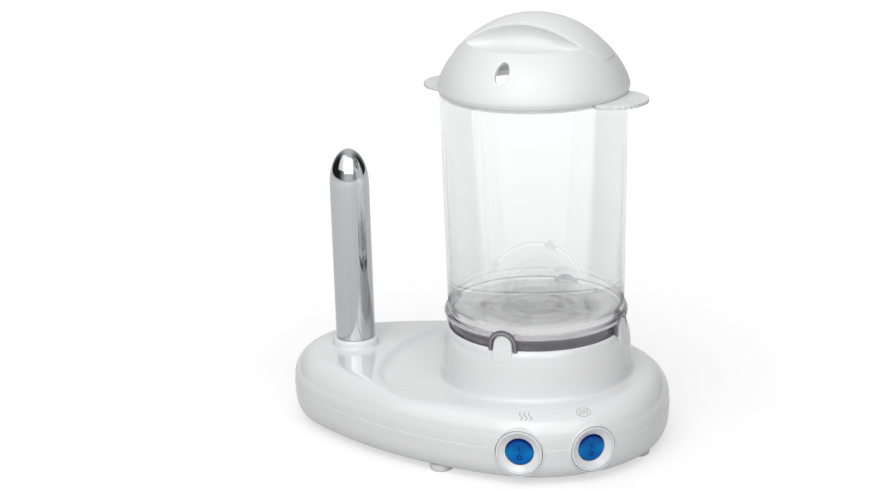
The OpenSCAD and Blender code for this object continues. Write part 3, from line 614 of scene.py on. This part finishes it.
def lower_shell():
    """The lower housing: wall, rounded lip and inside carried round the outline, and a pierced floor."""
    columns = TURNS[:, None]
    edge = np.nan_to_num(hole_edge(lower_section, lower_length, -1), nan=99.0)
    beside = np.min([np.abs(TURNS - a + np.pi / 2) for a in SWITCHES.values()], 0) * BIG_R - HOLE_R
    stop = np.minimum(edge, Z_PART - PART_GAP)[:, None]
    lip = UPPER_LIP + (LOWER_LIP - UPPER_LIP) * smooth_step(0, 5, beside)[:, None]
    q = lower_length(stop - lip) * np.linspace(0, 1, 22)
    inset, z = lower_section(q)
    inset = inset - PART_STEP * smooth_step(Z_PART - 9, Z_PART - 1, z)
    b = np.linspace(0, np.pi / 2, 5)[1:]
    lip_in, lip_z = inset[:, -1:] + lip * (1 - np.cos(b)), stop - lip + lip * np.sin(b)
    back_in, back_z = inset[:, ::-2] + WALL, np.maximum(z[:, ::-2], Z_BOTTOM + WALL)
    x, y = outline(columns, np.concatenate([inset, lip_in, back_in], 1))
    points = np.stack([x, y, np.concatenate([z, lip_z, back_z], 1)], -1)
    # Vent slots in a row, and bores below the screw posts
    slot_half, slot_long, pitch, bore_r = 1.6, 22.0, 9.0, 4.1
    corners = np.array([[-1, -1], [1, -1], [1, 1], [-1, 1]]) * [slot_half, slot_long]
    slots = [corners + [SEAT_X + pitch * i, 0] for i in range(-3, 4)]
    circle = bore_r * np.stack([np.cos(ring(28)), np.sin(ring(28))], 1)
    bores = [circle + [x, side * y] for x, y in ((124.77, 20.71), (-59.27, 52.25)) for side in (-1, 1)]
    low = plate(points[:, 0, :2], slots + bores, Z_BOTTOM, Z_BOTTOM + WALL)
    high = plate(points[:, -1, :2], slots + bores, Z_BOTTOM, Z_BOTTOM + WALL)
    return [grid(points, True), low[0], high[1]] + low[2:]


def spike_ring():
    """The raised ring round the spike, with a hollow fillet at its foot and a rounded top."""
    fillet_r, rounding, bore, low = 0.7, 1.6, 14.0, 50.2
    a = np.linspace(0, np.pi / 2, 8)
    foot = np.stack([RING_R + fillet_r * (1 - np.sin(a)), Z_TOP - 0.05 + fillet_r * (1 - np.cos(a))], 1)
    top = np.stack([RING_R - rounding * (1 - np.cos(a)), Z_RING - rounding * (1 - np.sin(a))], 1)
    rest = np.array([[bore + 0.4, Z_RING], [bore, Z_RING - 0.4], [bore, low], [RING_R + fillet_r, low]])
    return revolve(np.concatenate([foot, top, rest]), SPIKE_X, 128)


def tongue(turn):
    """A locating tongue: rays from its middle run over the front face, round the edge and back.

    Its plan is a half circle on a widening stem, and its radius about the seat follows the height.
    """
    stem_long, stem_widening, flat, back_r = 12.5, 0.2, 0.86, 62.9
    phi = ring(72)[:, None]
    half = TONGUE_W / 2
    up, side = np.sin(phi), np.cos(phi)
    stem = np.minimum(half / np.maximum(np.abs(side), 1e-6), stem_long / np.maximum(-up, 1e-6))
    reach = np.where(up >= 0, half, stem)
    a = np.linspace(0, np.pi / 2, 6)[1:]
    s = np.concatenate([np.linspace(0, flat, 7), flat + (1 - flat) * np.sin(a)])
    dip = np.concatenate([np.zeros(7), 1 - np.cos(a)])
    lateral, height = s * reach * side, TONGUE_Z + s * reach * up
    lateral = lateral * (1 + stem_widening * np.clip((TONGUE_Z - height) / 14, 0, 1))
    front = np.interp(height, [78, 81.5, 91.5, 97.5], [67.0, 66.6, 65.1, 64.7]) - dip
    radius = np.concatenate([front, np.full(front.shape, back_r)], 1)
    lateral = np.concatenate([lateral, lateral[:, ::-1]], 1)
    height = np.concatenate([height, height[:, ::-1]], 1)
    return grid(place(turn + lateral / radius, radius, height), True)


piece("base_top", "base", WHITE,
      [upper_shell(), spike_ring()] + [tongue(t) for t in QUARTERS], ["upper_housing"])
piece("base_pan", "base", WHITE, lower_shell(), ["lower_housing"])


def foot(x, y):
    """A rubber foot: a rounded pad with a slightly hollow sole, on a stem that goes up into the pan."""
    profile = fillet([[0, 0.5], [4.6, 0.5], [5.4, 0], [FOOT_PAD_R - 0.4, 0], [FOOT_PAD_R, Z_BOTTOM + 0.1],
                      [3, Z_BOTTOM + 0.1], [3, Z_BOTTOM + 3.4], [0, Z_BOTTOM + 3.4]],
                     [0.01, 0.2, 0.3, 1.4, 0.1, 0.1, 0.4, 0.01])
    points, faces = revolve(profile, x, 64)
    return points + [0, y, 0], faces


piece("foot_pads", "base", FINISHES["foot_rubber"], [foot(x, y) for x, y in FEET], ["feet"])


# Switches

def at_switch(local, angle):
    """Points along the wall, up and outward from a switch's middle, put into the frame."""
    x, v, u = np.moveaxis(local, -1, 0)
    out = SWITCH_R + u
    return np.stack([BIG_X + out * np.sin(angle) + x * np.cos(angle),
                     -out * np.cos(angle) + x * np.sin(angle), SWITCH_Z + v], -1)


def switch_ring(profile, angle):
    """A closed profile of (radius, outward) points turned about a switch's axis."""
    turn, (r, u) = ring(112)[:, None], profile.T
    local = np.stack([r * np.cos(turn), r * np.sin(turn), u + 0 * turn], -1)
    return grid(at_switch(local, angle), True, True)


def switch_bezel(angle):
    """The dished ring round a rocker, with its sleeve behind."""
    profile = fillet([[WELL_R, -4.2], [WELL_R, -2.8], [10.5, -2.5], [14.2, -0.9], [14.45, 0.3],
                      [BEZEL_R - 0.2, 0.3], [BEZEL_R, -0.1], [BEZEL_R, -4.5], [13.4, -5.2], [13.4, -9],
                      [11.42, -9], [11.42, -4.2]],
                     [0.05, 0.2, 0.4, 0.25, 0.2, 0.2, 0.2, 0.1, 0.1, 0.1, 0.1, 0.1])
    return switch_ring(profile, angle)


def switch_boss(angle):
    """The housing's raised edge round a bezel: a sloped ring, flush with it, that sinks into the wall."""
    profile = fillet([[16.55, 0.2], [17.2, 0.2], [18.5, -2.6], [18.9, -6], [16.3, -6], [16.3, -3]],
                     [0.15, 0.4, 0.6, 0.1, 0.1, 0.1])
    return switch_ring(profile, angle)


def rocker_key(angle):
    """A round key with a hollow face, tilted to its off position about the pivot.

    Rays from its middle run over the face, round the edge and down the side, whose plan is where two tilted
    cylinders meet.
    """
    edge, top, foot, sole = 0.5, 5.9, -2.0, -2.4
    psi = ring(112)[:, None]

    def plan(w):
        v = np.maximum(ROCKER_R * np.abs(np.sin(psi)) - np.abs(w) * np.sin(THROW), 0) / np.cos(THROW)
        return ROCKER_R * np.cos(psi), np.sign(np.sin(psi)) * v

    def face(v):
        return -2.9 + 2.1 * (np.abs(v) / 12)**1.55 - PIVOT_U

    x, v = plan(top)
    s = np.linspace(0, 1, 14)[:-1]
    shrink = 1 - edge / ROCKER_R
    rows = [(x * s * shrink, v * s * shrink, face(v * s * shrink))]
    a = np.linspace(0, np.pi / 2, 6)
    scale = shrink + (1 - shrink) * np.sin(a)
    rows.append((x * scale, v * scale, face(v * shrink) - edge * (1 - np.cos(a))))
    for w in (4.0, 2.0, 0.0, foot):
        rows.append((*plan(w), np.full(psi.shape, w)))
    x, v = plan(foot)
    back = s[:0:-3]
    rows.append((x * back, v * back, np.full((len(psi), len(back)), sole)))
    rows.append((0 * x, 0 * v, np.full(psi.shape, sole - 0.2)))
    x, v, w = [np.concatenate(part, 1) for part in zip(*rows)]
    tilt_v, tilt_w = v * np.cos(THROW) - w * np.sin(THROW), v * np.sin(THROW) + w * np.cos(THROW)
    return grid(at_switch(np.stack([x, tilt_v, tilt_w + PIVOT_U], -1), angle), True)


for side, angle in SWITCHES.items():
    piece("switch_boss_" + side, "base", WHITE, [switch_boss(angle)])
    piece("bezel_ring_" + side, "base", WHITE, [switch_bezel(angle)], ["bezel_" + side])
    piece("rocker_key_" + side, "rocker_" + side, rocker_finish(angle), [rocker_key(angle)],
          ["rocker_" + side])


# Printed signs above the switches

def on_wall(across, up, middle, rise):
    """Points and normals of a flat drawing put on the upper wall.

    Across runs along the outline from a turn, and up runs along the wall's section.
    """
    turn = middle + across / (BIG_R - 6)
    inset, z = upper_section(rise + up)
    x, y = outline(turn, inset)
    a = np.clip((rise + up - (Z_TOP - EDGE_R - Z_PART)) / EDGE_R, 0, np.pi / 2)
    normals = np.stack([np.cos(a) * np.cos(turn), np.cos(a) * np.sin(turn), np.sin(a)], -1)
    return np.stack([x, y, deck(x, y, z)], -1), normals


def stroke(across, up, middle, rise, width, closed=False):
    """A printed line: a flat oval section, a little proud, carried along a drawn path on the wall."""
    proud = 0.05
    path = np.stack([across, up], 1)
    ahead = np.roll(path, -1, 0) - np.roll(path, 1, 0) if closed else np.gradient(path, axis=0)
    ahead = ahead / np.linalg.norm(ahead, axis=1)[:, None]
    side = np.stack([-ahead[:, 1], ahead[:, 0]], 1)
    b = ring(8)
    swell = np.ones(len(path)) if closed else np.concatenate([[0], np.ones(len(path) - 2), [0]])
    flat = path[:, None] + side[:, None] * (np.cos(b) * width / 2)[None, :, None] * swell[:, None, None]
    points, normals = on_wall(flat[..., 0], flat[..., 1], middle, rise)
    return grid(points + normals * (np.sin(b)[None, :, None] * proud * swell[:, None, None]), closed, True)


def heat_waves(middle, rise):
    """Three waves side by side, each one full turn of a sine."""
    t = np.linspace(-1, 1, 40)
    return [stroke(c + 1.25 * np.sin(np.pi * t), -3.5 * t, middle, rise, 0.5) for c in (-3.3, 0, 3.3)]


def roll_sign(middle, rise):
    """A long roll: an oval with three slanted narrow ovals as its cuts."""
    t = ring(64)
    cut_x, cut_y = 1.0 * np.cos(t) + 0.45 * np.sin(t), 1.9 * np.cos(t) - 0.35 * np.sin(t)
    cuts = [stroke(m + cut_x, cut_y, middle, rise, 0.3, True) for m in (-2.5, 0, 2.5)]
    return [stroke(5.2 * np.cos(t), 3.8 * np.sin(t), middle, rise, 0.4, True)] + cuts


piece("heat_sign", "base", PRINT, heat_waves(np.radians(-74.5), 24.4))
piece("roll_sign", "base", PRINT, roll_sign(np.radians(-47.3), 25.2))


# Spike

def spike():
    """The polished tube: a straight neck, a shoulder on the ring, a straight side and a half-ellipse tip."""
    neck, low, tip_long, bore = 13.9, 45.0, 26.0, 13.3
    a = np.linspace(0, np.pi / 2, 24)
    tip = np.stack([SPIKE_R * np.cos(a), Z_TIP - tip_long + tip_long * np.sin(a)], 1)
    start = np.array([[neck - 0.5, low], [neck, low], [neck, Z_RING + 0.02], [SPIKE_R - 0.2, Z_RING + 0.02],
                      [SPIKE_R, Z_RING + 0.25], [SPIKE_R, 100], [SPIKE_R, 150]])
    inside = np.stack([bore * np.cos(a), Z_TIP - tip_long + (tip_long - 1.8) * np.sin(a)], 1)[::-3]
    return revolve(np.concatenate([start, tip, inside]), SPIKE_X, 128)


piece("spike_skin", "base", FINISHES["spike_chrome"], [spike()], ["spike_tube"])


# Container

def tub():
    """The clear tub: skirt, lip, wall and rim are one rounded profile turned about the seat.

    Its lip draws in beside each tongue, and the middle of its floor is a plate with rings of curved slots.
    """
    profile = fillet([[FLOOR_R, FLOOR_UNDER], [SKIRT_IN, FLOOR_UNDER], [SKIRT_IN, Z_SKIRT],
                      [SKIRT_R, Z_SKIRT], [SKIRT_R, Z_SKIRT_TOP], [LIP_R - 0.7, 95.5], [LIP_R, 96.3],
                      [LIP_R, 98.3], [LIP_R - 0.8, 99.1], [WALL_FOOT_R, Z_WALL_FOOT], [RIM_R, Z_RIM - 4],
                      [RIM_R, Z_RIM], [RIM_IN, Z_RIM], [RIM_IN, Z_RIM - 4], [60.3, Z_FLOOR],
                      [FLOOR_R, Z_FLOOR]],
                     [0.01, 0.5, 0.6, 0.6, 0.5, 0.6, 0.5, 0.5, 0.5, 0.8, 3, 0.7, 0.7, 3, 1.8, 0.01])
    r, z = profile.T
    turn = ring(480)[:, None]
    lateral = np.abs((turn + np.pi / 4) % (np.pi / 2) - np.pi / 4) * 64
    body = np.interp(z, [Z_SKIRT_TOP, Z_WALL_FOOT], [SKIRT_R, WALL_FOOT_R])
    lip = np.where((z > Z_SKIRT_TOP - 0.1) & (z < Z_WALL_FOOT + 0.2) & (r > body), r - body, 0)
    reach = r - lip * (1 - smooth_step(TONGUE_W / 2 + 0.8, TONGUE_W / 2 + 2.2, lateral))
    slot_starts = np.radians(10) + QUARTERS
    slots = [slot_loop(k * RIM_R + 1.6, start, start + np.radians(70))
             for k in (0.2, 0.36, 0.52) for start in slot_starts]
    middle = plate(place(turn[:, 0], FLOOR_R, 0)[:, :2], slots, FLOOR_UNDER, Z_FLOOR)
    return [grid(place(turn, reach, z), True)] + middle


def slot_loop(reach, start, stop, half=1.6):
    """Outline of a curved slot: an arc outward, a round end, the arc back and a round end."""
    start, stop = start + half / reach, stop - half / reach
    bend = np.linspace(0, np.pi, 9)[1:-1]
    along = np.linspace(start, stop, 18)
    end = half / reach * np.sin(bend)
    turn = np.concatenate([along, stop + end, along[::-1], start - end])
    out = np.concatenate([np.ones(18), np.cos(bend), -np.ones(18), -np.cos(bend)]) * half
    return place(turn, reach + out, 0)[:, :2]


def arch(turn, inside, outside, proud):
    """A rib of the clear arch over a tongue, between two bows and out to a radius.

    A rounded section goes up a short leg, round a half circle and down again, wrapped onto the tub, and
    shrinks to a point at both ends.
    """
    root, leg, wrap_r, steps = 62.4, 4.4, 63.8, 36
    section = fillet([[root, inside], [proud, inside], [proud, outside], [root, outside]], [0.5] * 4)
    phi = np.concatenate([[0, 0], np.linspace(0, np.pi, steps), [np.pi, np.pi]])[:, None]
    drop = np.concatenate([[leg, leg], np.zeros(steps), [leg, leg]])[:, None]
    size = np.concatenate([[0], np.ones(steps + 2), [0]])[:, None]
    middle = section.mean(0)
    radius = middle[0] + (section[:, 0] - middle[0]) * size
    bow = middle[1] + (section[:, 1] - middle[1]) * size
    points = place(turn + bow * np.cos(phi) / wrap_r, radius, TONGUE_Z + bow * np.sin(phi) - drop)
    return grid(points, False, True)


def ear(sign):
    """A lifting ear: a half-round plate between the tub's rim and a circle, with a softened outer edge.

    Both ears are turned a little about the tub.
    """
    thick, middle, circle, inner, rounding = 2.8, RIM_R - 4.0, 24.0, RIM_R - 1.4, 0.6
    high, low = Z_RIM, Z_RIM - thick
    cross = (middle**2 + inner**2 - circle**2) / (2 * middle)
    end = np.arctan2(np.sqrt(inner**2 - cross**2), cross - middle)
    alpha = np.linspace(-end, end, 72)[:, None]
    outer = np.stack([middle + circle * np.cos(alpha), circle * np.sin(alpha)], -1)
    bearing = np.arctan2(outer[..., 1], outer[..., 0])
    root = np.stack([inner * np.cos(bearing), inner * np.sin(bearing)], -1)
    width = np.linalg.norm(outer - root, axis=-1)
    soft = np.minimum(rounding, width / 2)
    a = np.linspace(0, np.pi / 2, 6)
    top = np.linspace(0, 1, 14)[:-1]
    flat = width - soft
    s = np.concatenate([flat * top, flat + soft * np.sin(a), flat + soft * np.cos(a), flat * top[::-1]], 1)
    z = np.concatenate([np.full(13, high), high - rounding * (1 - np.cos(a)),
                        low + rounding * (1 - np.sin(a)), np.full(13, low)])
    plan = root + (outer - root) * (s / np.maximum(width, 1e-6))[..., None]
    x, y = sign * plan[..., 0], sign * plan[..., 1]
    turned_x = x * np.cos(EAR_TURN) - y * np.sin(EAR_TURN)
    turned_y = x * np.sin(EAR_TURN) + y * np.cos(EAR_TURN)
    return grid(np.stack([SEAT_X + turned_x, turned_y, z + 0 * s], -1), False, True)


# Ribs of the arches: inner bow, outer bow and radius; the inner and outer ribs get painted shade and the one
# between them painted light
PAINTED_SHADE_RIBS, PAINTED_LIGHT_RIB = ((7.4, 8.2, 64.9), (9.7, 10.8, 64.6)), (8.1, 9.8, 65.3)
piece("tub_body", "container", FINISHES["clear_plastic"], tub(), ["container"], 50)
piece("tub_arches", "container", ARCH_PAINTED_SHADE,
      [arch(t, *rib) for t in QUARTERS for rib in PAINTED_SHADE_RIBS])
piece("tub_arch_bands", "container", ARCH_PAINTED_LIGHT, [arch(t, *PAINTED_LIGHT_RIB) for t in QUARTERS])
piece("tub_ears", "container", MILKY, [ear(1), ear(-1)], (), 50)


# Lid

def dome(t):
    """Radius and height of the dome by latitude t: powers of the cosine and the sine of t."""
    return LID_R * np.cos(t)**DOME_SIDE, Z_WIDE + DOME_RISE * np.sin(t)**DOME_TOP


def latitude(reach):
    """Latitude of the dome at a distance from its axis."""
    return np.arccos(np.clip(reach / LID_R, 0, 1)**(1 / DOME_SIDE))


def bed(reach):
    """Height of the grip bar's bed, a little below the dome."""
    return dome(latitude(reach))[1] - BAR_BED


# Plan of the grip bar, an oval with powers, by turn, and how far its side slants to the ray there
THETA = ring(288)[:, None]
BAR = (np.abs(np.cos(THETA)) / BAR_L)**BAR_POWER + (np.abs(np.sin(THETA)) / BAR_W)**BAR_POWER
BAR = BAR**(-1 / BAR_POWER)
BAR_SLANT = BAR / np.hypot(BAR, np.gradient(BAR[:, 0], THETA[1, 0])[:, None])

# Distance of the ledges' front rim, and the latitude by turn where the ledge's rows end
LATITUDES = np.linspace(0, np.pi / 2, 4000)
CREASE_R = np.interp(Z_GRIP, dome(LATITUDES)[1], dome(LATITUDES)[0])
SPLIT = np.minimum(np.radians(44), latitude(BAR + 4.5 / BAR_SLANT) - np.radians(1.0))

# Vent: its latitude, millimetres per radian of latitude there, and the block of quads it takes out
VENT_T, VENT_SPEED = latitude(VENT_R), 55.3
VENT_COLUMN, VENT_SPAN, VENT_NEAR, VENT_FAR = 216, 8, 49.5, 64.3


def scoop(reach):
    """Depth of the finger ledge below its front rim: none at the rim, growing over 3 mm towards the bar."""
    return SCOOP * smooth_step(0.4, 3.4, CREASE_R - reach)


def lid_height(reach):
    """Height of the lid's outside beside the grip bar: the dome, cut down to the sunk finger ledge."""
    z = dome(latitude(reach))[1]
    return z - soft_positive(z - Z_GRIP, LEDGE_SOFT) - scoop(reach)


def dome_skin(theta, t, depth):
    """A point of the dome below the ledges, drawn in by a depth along its normal."""
    r, z = dome(t)
    r2, z2 = dome(np.minimum(t + 0.01, np.pi / 2))
    n = np.hypot(r2 - r, z2 - z)
    return place(theta, r - depth * (z2 - z) / n, z + depth * (r2 - r) / n)


def vent_ring(theta, t):
    """Quads between the vent's oval and a border round it, given by turns and latitudes.

    They run along the dome to the oval, over its rounded edge, through the wall and back along the inside.
    """
    bearing = np.arctan2((t - VENT_T) * VENT_SPEED / VENT_B, (theta - VENT_TURN) * VENT_R / VENT_A)
    hole_theta = VENT_TURN + VENT_A * np.cos(bearing) / VENT_R
    hole_t = VENT_T + VENT_B * np.sin(bearing) / VENT_SPEED
    s = np.linspace(0, 1, 7)
    mid_theta = theta[:, None] + (hole_theta - theta)[:, None] * s
    mid_t = t[:, None] + (hole_t - t)[:, None] * s
    depth = np.array([0.12, 0.4, 1.2, LID_WALL - 0.3])
    shrink = np.array([0.97, 0.955, 0.955, 0.955])
    wall_theta = VENT_TURN + (hole_theta - VENT_TURN)[:, None] * shrink
    wall_t = VENT_T + (hole_t - VENT_T)[:, None] * shrink
    face = dome_skin(mid_theta, mid_t, 0)
    throat = dome_skin(wall_theta, wall_t, depth)
    back = dome_skin(mid_theta, mid_t, LID_WALL)[:, ::-1]
    return grid(np.concatenate([face, throat, back], 1), True)


def lid_shell():
    """The lid, by rays from its middle, and the ring of quads that closes the block left out at the vent.

    Each ray runs over the bar's bed, down its hollow wall, along the ledge and down the dome, under the rim,
    round the plug and back inside.
    """
    u = np.linspace(0, 1, 14)[:-1]
    crown = place(THETA, BAR * u, bed(BAR * u))
    drop = soft_positive(bed(BAR) - Z_GRIP, LEDGE_SOFT)
    v = np.linspace(0, 1, 16)
    hollow = 7.5 * smooth_step(1.0, 7.0, drop)
    inward = 0.42 * drop * v**3 - hollow * np.sin(np.pi * v**0.6)
    start = BAR + inward[:, -1:] / BAR_SLANT
    sunk = (drop + scoop(start)) * (1.5 * (1 - v)**2 * v + 3 * (1 - v) * v**2 + v**3)
    bar_wall = place(THETA, BAR + inward / BAR_SLANT, bed(BAR) - sunk)
    # Ledge, with its rows closest at the rim, and dome below it
    share = np.cumsum(1 + 8 * np.exp(-((LATITUDES - latitude(CREASE_R)) / np.radians(2.0))**2))
    low, high = np.interp(SPLIT, LATITUDES, share), np.interp(latitude(start), LATITUDES, share)
    t = np.interp(high + (low - high) * np.linspace(0, 1, 36)[1:], share, LATITUDES)
    reach = dome(t)[0]
    ledge = place(THETA, reach, lid_height(reach))
    t_low = SPLIT * (1 - np.linspace(0, 1, 34)[1:])
    blend = smooth_step(0.75, 1.0, t_low / SPLIT)
    outer = dome_skin(THETA, t_low, 0)
    outer[..., 2] = lid_height(dome(t_low)[0]) * blend + outer[..., 2] * (1 - blend)
    # Rim and plug, as radius and height over the tub's rim, and inside faces
    rim_r, rim_z = np.array([[66.1, 2.7], [65.8, 1.5], [65.5, 0.55], [65.25, 0.2], [64.8, 0.1], [62.8, 0.1],
                             [62.5, -0.1], [62.5, -2.1], [62.2, -2.6], [61.8, -2.7], [60.7, -2.7],
                             [60.3, -2.3], [60.3, 1.0], [62.2, 2.0]]).T
    rim = place(THETA, rim_r, Z_RIM + rim_z)
    inner = dome_skin(THETA, t_low, LID_WALL)[:, ::-1]
    under = ledge[:, ::-1] - np.array([0, 0, LID_WALL])
    bar_in = BAR - (LID_WALL + 0.16 * drop + hollow) / BAR_SLANT
    shelf = np.minimum(lid_height(start), bed(bar_in)) - LID_WALL
    roof = bed(bar_in * u) - LID_WALL
    step = [place(THETA, start, shelf), place(THETA, bar_in, shelf), place(THETA, bar_in, roof[:, -1:])]
    ceiling = place(THETA, bar_in * u, roof)[:, ::-1]
    points = np.concatenate([crown, bar_wall, ledge, outer, rim, inner, under, *step, ceiling], 1)
    body, quads = grid(points, True)
    # Vent: a block of quads is left out on the outside and the inside, and its border gets the ring
    n_out = crown.shape[1] + bar_wall.shape[1] + ledge.shape[1]
    n_in = n_out + outer.shape[1] + rim.shape[1]
    last = t_low.shape[1] - 1
    column, row = np.divmod(np.arange(len(quads)), points.shape[1] - 1)
    j0, j1 = VENT_COLUMN - VENT_SPAN, VENT_COLUMN + VENT_SPAN
    t_vent = t_low[VENT_COLUMN]
    k0, k1 = [int(np.argmin(np.abs(t_vent - latitude(r)))) for r in (VENT_NEAR, VENT_FAR)]
    outside = (row >= n_out + k0) & (row < n_out + k1)
    inside = (row >= n_in + last - k1) & (row < n_in + last - k0)
    gone = (column >= j0) & (column < j1) & (outside | inside)
    j, k = np.arange(j0, j1 + 1), np.arange(k0, k1 + 1)
    edge_j = np.concatenate([j[:-1], np.full(len(k) - 1, j1), j[:0:-1], np.full(len(k) - 1, j0)])
    edge_k = np.concatenate([np.full(len(j) - 1, k0), k[:-1], np.full(len(j) - 1, k1), k[:0:-1]])
    theta = (THETA[edge_j, 0] + np.pi) % (2 * np.pi) - np.pi
    return [(body, quads[~gone]), vent_ring(theta, t_vent[edge_k])]


def bar_cover():
    """The grip bar's cover: the dome lifted over the bar's plan, with a rounded border and an underside."""
    gap, rounding, under_depth = 0.12, 0.3, 1.1
    u = np.linspace(0, 1, 22)[:-1]
    edge = BAR - gap
    a = np.linspace(0, np.pi / 2, 7)
    reach = (edge - rounding) * u
    face = (reach, dome(latitude(reach))[1] + BAR_PROUD)
    reach = edge - rounding * (1 - np.sin(a))
    bend = (reach, dome(latitude(reach))[1] + BAR_PROUD - rounding * (1 - np.cos(a)))
    foot = (edge, dome(latitude(edge))[1] - under_depth)
    reach = edge * u[::-3]
    under = (reach, dome(latitude(reach))[1] - under_depth)
    reach, z = [np.concatenate(rows, 1) for rows in zip(face, bend, foot, under)]
    return grid(place(THETA, reach, z), True)


piece("lid_dome", "lid", LID_WHITE, lid_shell(), ["lid"], 50)
piece("grip_bar", "lid", LID_WHITE, [bar_cover()], ["lid_handle"], 50)


# Finishes of the frame's own nodes
slot_of = {s["node"]: s["material_slot"] for s in frame["record"]["subparts"]}
for name, thing in nodes.items():
    finish = FINISHES.get(slot_of[name])
    if finish:
        thing.data.materials.clear()
        thing.data.materials.append(finish)


# Stage, light and camera

def stage_finish(name, colour):
    """Pale floor: diffuse under the lamps, lifted for rays that see it straight, in gloss or through glass.

    The lift grows away from the object.
    """
    near, far, near_lift, far_lift = 0.2, 1.0, 0.56, 0.82
    f = Finish(name, Roughness=0.9, Specular_IOR_Level=0.0, Base_Color=shade(colour, 1.0),
               Emission_Strength=1.0)
    straight, gloss, glass = [f.node("ShaderNodeLightPath", {}, {}, out)
                              for out in ("Is Camera Ray", "Is Glossy Ray", "Is Transmission Ray")]
    seen = (straight + 0.5 * gloss + glass).math("MINIMUM", 1.0)
    away = f.node("ShaderNodeVectorMath", {"operation": "LENGTH"}, {0: f.object}, "Value")
    lift = f.node("ShaderNodeMapRange", {}, {"Value": away, 1: near, 2: far, 3: near_lift, 4: far_lift})
    f.set("Emission Color", f.mix(lift * seen, (0, 0, 0, 1), (1, 1, 1, 1)))
    return f.material


floor_mesh = bpy.data.meshes.new("floor")
floor_mesh.from_pydata([(-6, -6, 0), (6, -6, 0), (6, 6, 0), (-6, 6, 0)], [], [(0, 1, 2, 3)])
floor_mesh.materials.append(stage_finish("floor_white", (0.5, 0.5, 0.5)))
floor = bpy.data.objects.new("floor", floor_mesh)
scene.collection.objects.link(floor)

# World: bright before and behind the camera, dark to its sides, and white where it is seen
SIDEWAYS = (0.9136, 0.4066, 0.0)
BRIGHT, DARK = 0.72, 0.02
world = bpy.data.worlds.new("studio")
world.use_nodes = True
scene.world = world
sky = Tree(world.node_tree)
background = sky.tree.nodes["Background"]
background.inputs["Color"].default_value = (1, 1, 1, 1)
toward = sky.node("ShaderNodeTexCoord", {}, {}, "Generated")
aside = sky.node("ShaderNodeVectorMath", {"operation": "DOT_PRODUCT"}, {0: toward, 1: SIDEWAYS}, "Value")
level = sky.node("ShaderNodeMapRange", {"interpolation_type": "SMOOTHSTEP"},
                 {"Value": abs(aside), 1: 0.2, 2: 0.9, 3: BRIGHT, 4: DARK})
straight, glass = [sky.node("ShaderNodeLightPath", {}, {}, out)
                   for out in ("Is Camera Ray", "Is Transmission Ray")]
level = level.math("MAXIMUM", straight.math("MAXIMUM", glass))
sky.tree.links.new(level.socket, background.inputs["Strength"])


def softbox(name, spot, power, aim=(0, 0, 0.1), size=(2.8, 2.2)):
    """An oblong area lamp that faces a point."""
    lamp = bpy.data.lights.new(name, "AREA")
    lamp.shape, lamp.size, lamp.size_y, lamp.energy = "RECTANGLE", size[0], size[1], power
    thing = bpy.data.objects.new(name, lamp)
    thing.location = spot
    thing.rotation_euler = (Vector(aim) - Vector(spot)).to_track_quat("-Z", "Y").to_euler()
    scene.collection.objects.link(thing)


softbox("front", (0.75, -1.65, 1.6), 27.5)
softbox("left", (-0.5, -1.6, 1.7), 18.5)

# Camera: focal length and picture width in pixels, place in metres, turns in degrees
FOCAL, PICTURE_WIDTH, SENSOR = 1830, 870, 36
EYE, EYE_TURNS = (0.49201, -1.14742, 0.53890), (72.2674, 1.5659, 23.9887)
camera = bpy.data.cameras.new("camera")
camera.lens, camera.sensor_width = FOCAL / PICTURE_WIDTH * SENSOR, SENSOR
eye = bpy.data.objects.new("camera", camera)
eye.location = EYE
eye.rotation_euler = np.radians(EYE_TURNS)
scene.collection.objects.link(eye)
scene.camera = eye
scene.view_settings.view_transform = "Standard"
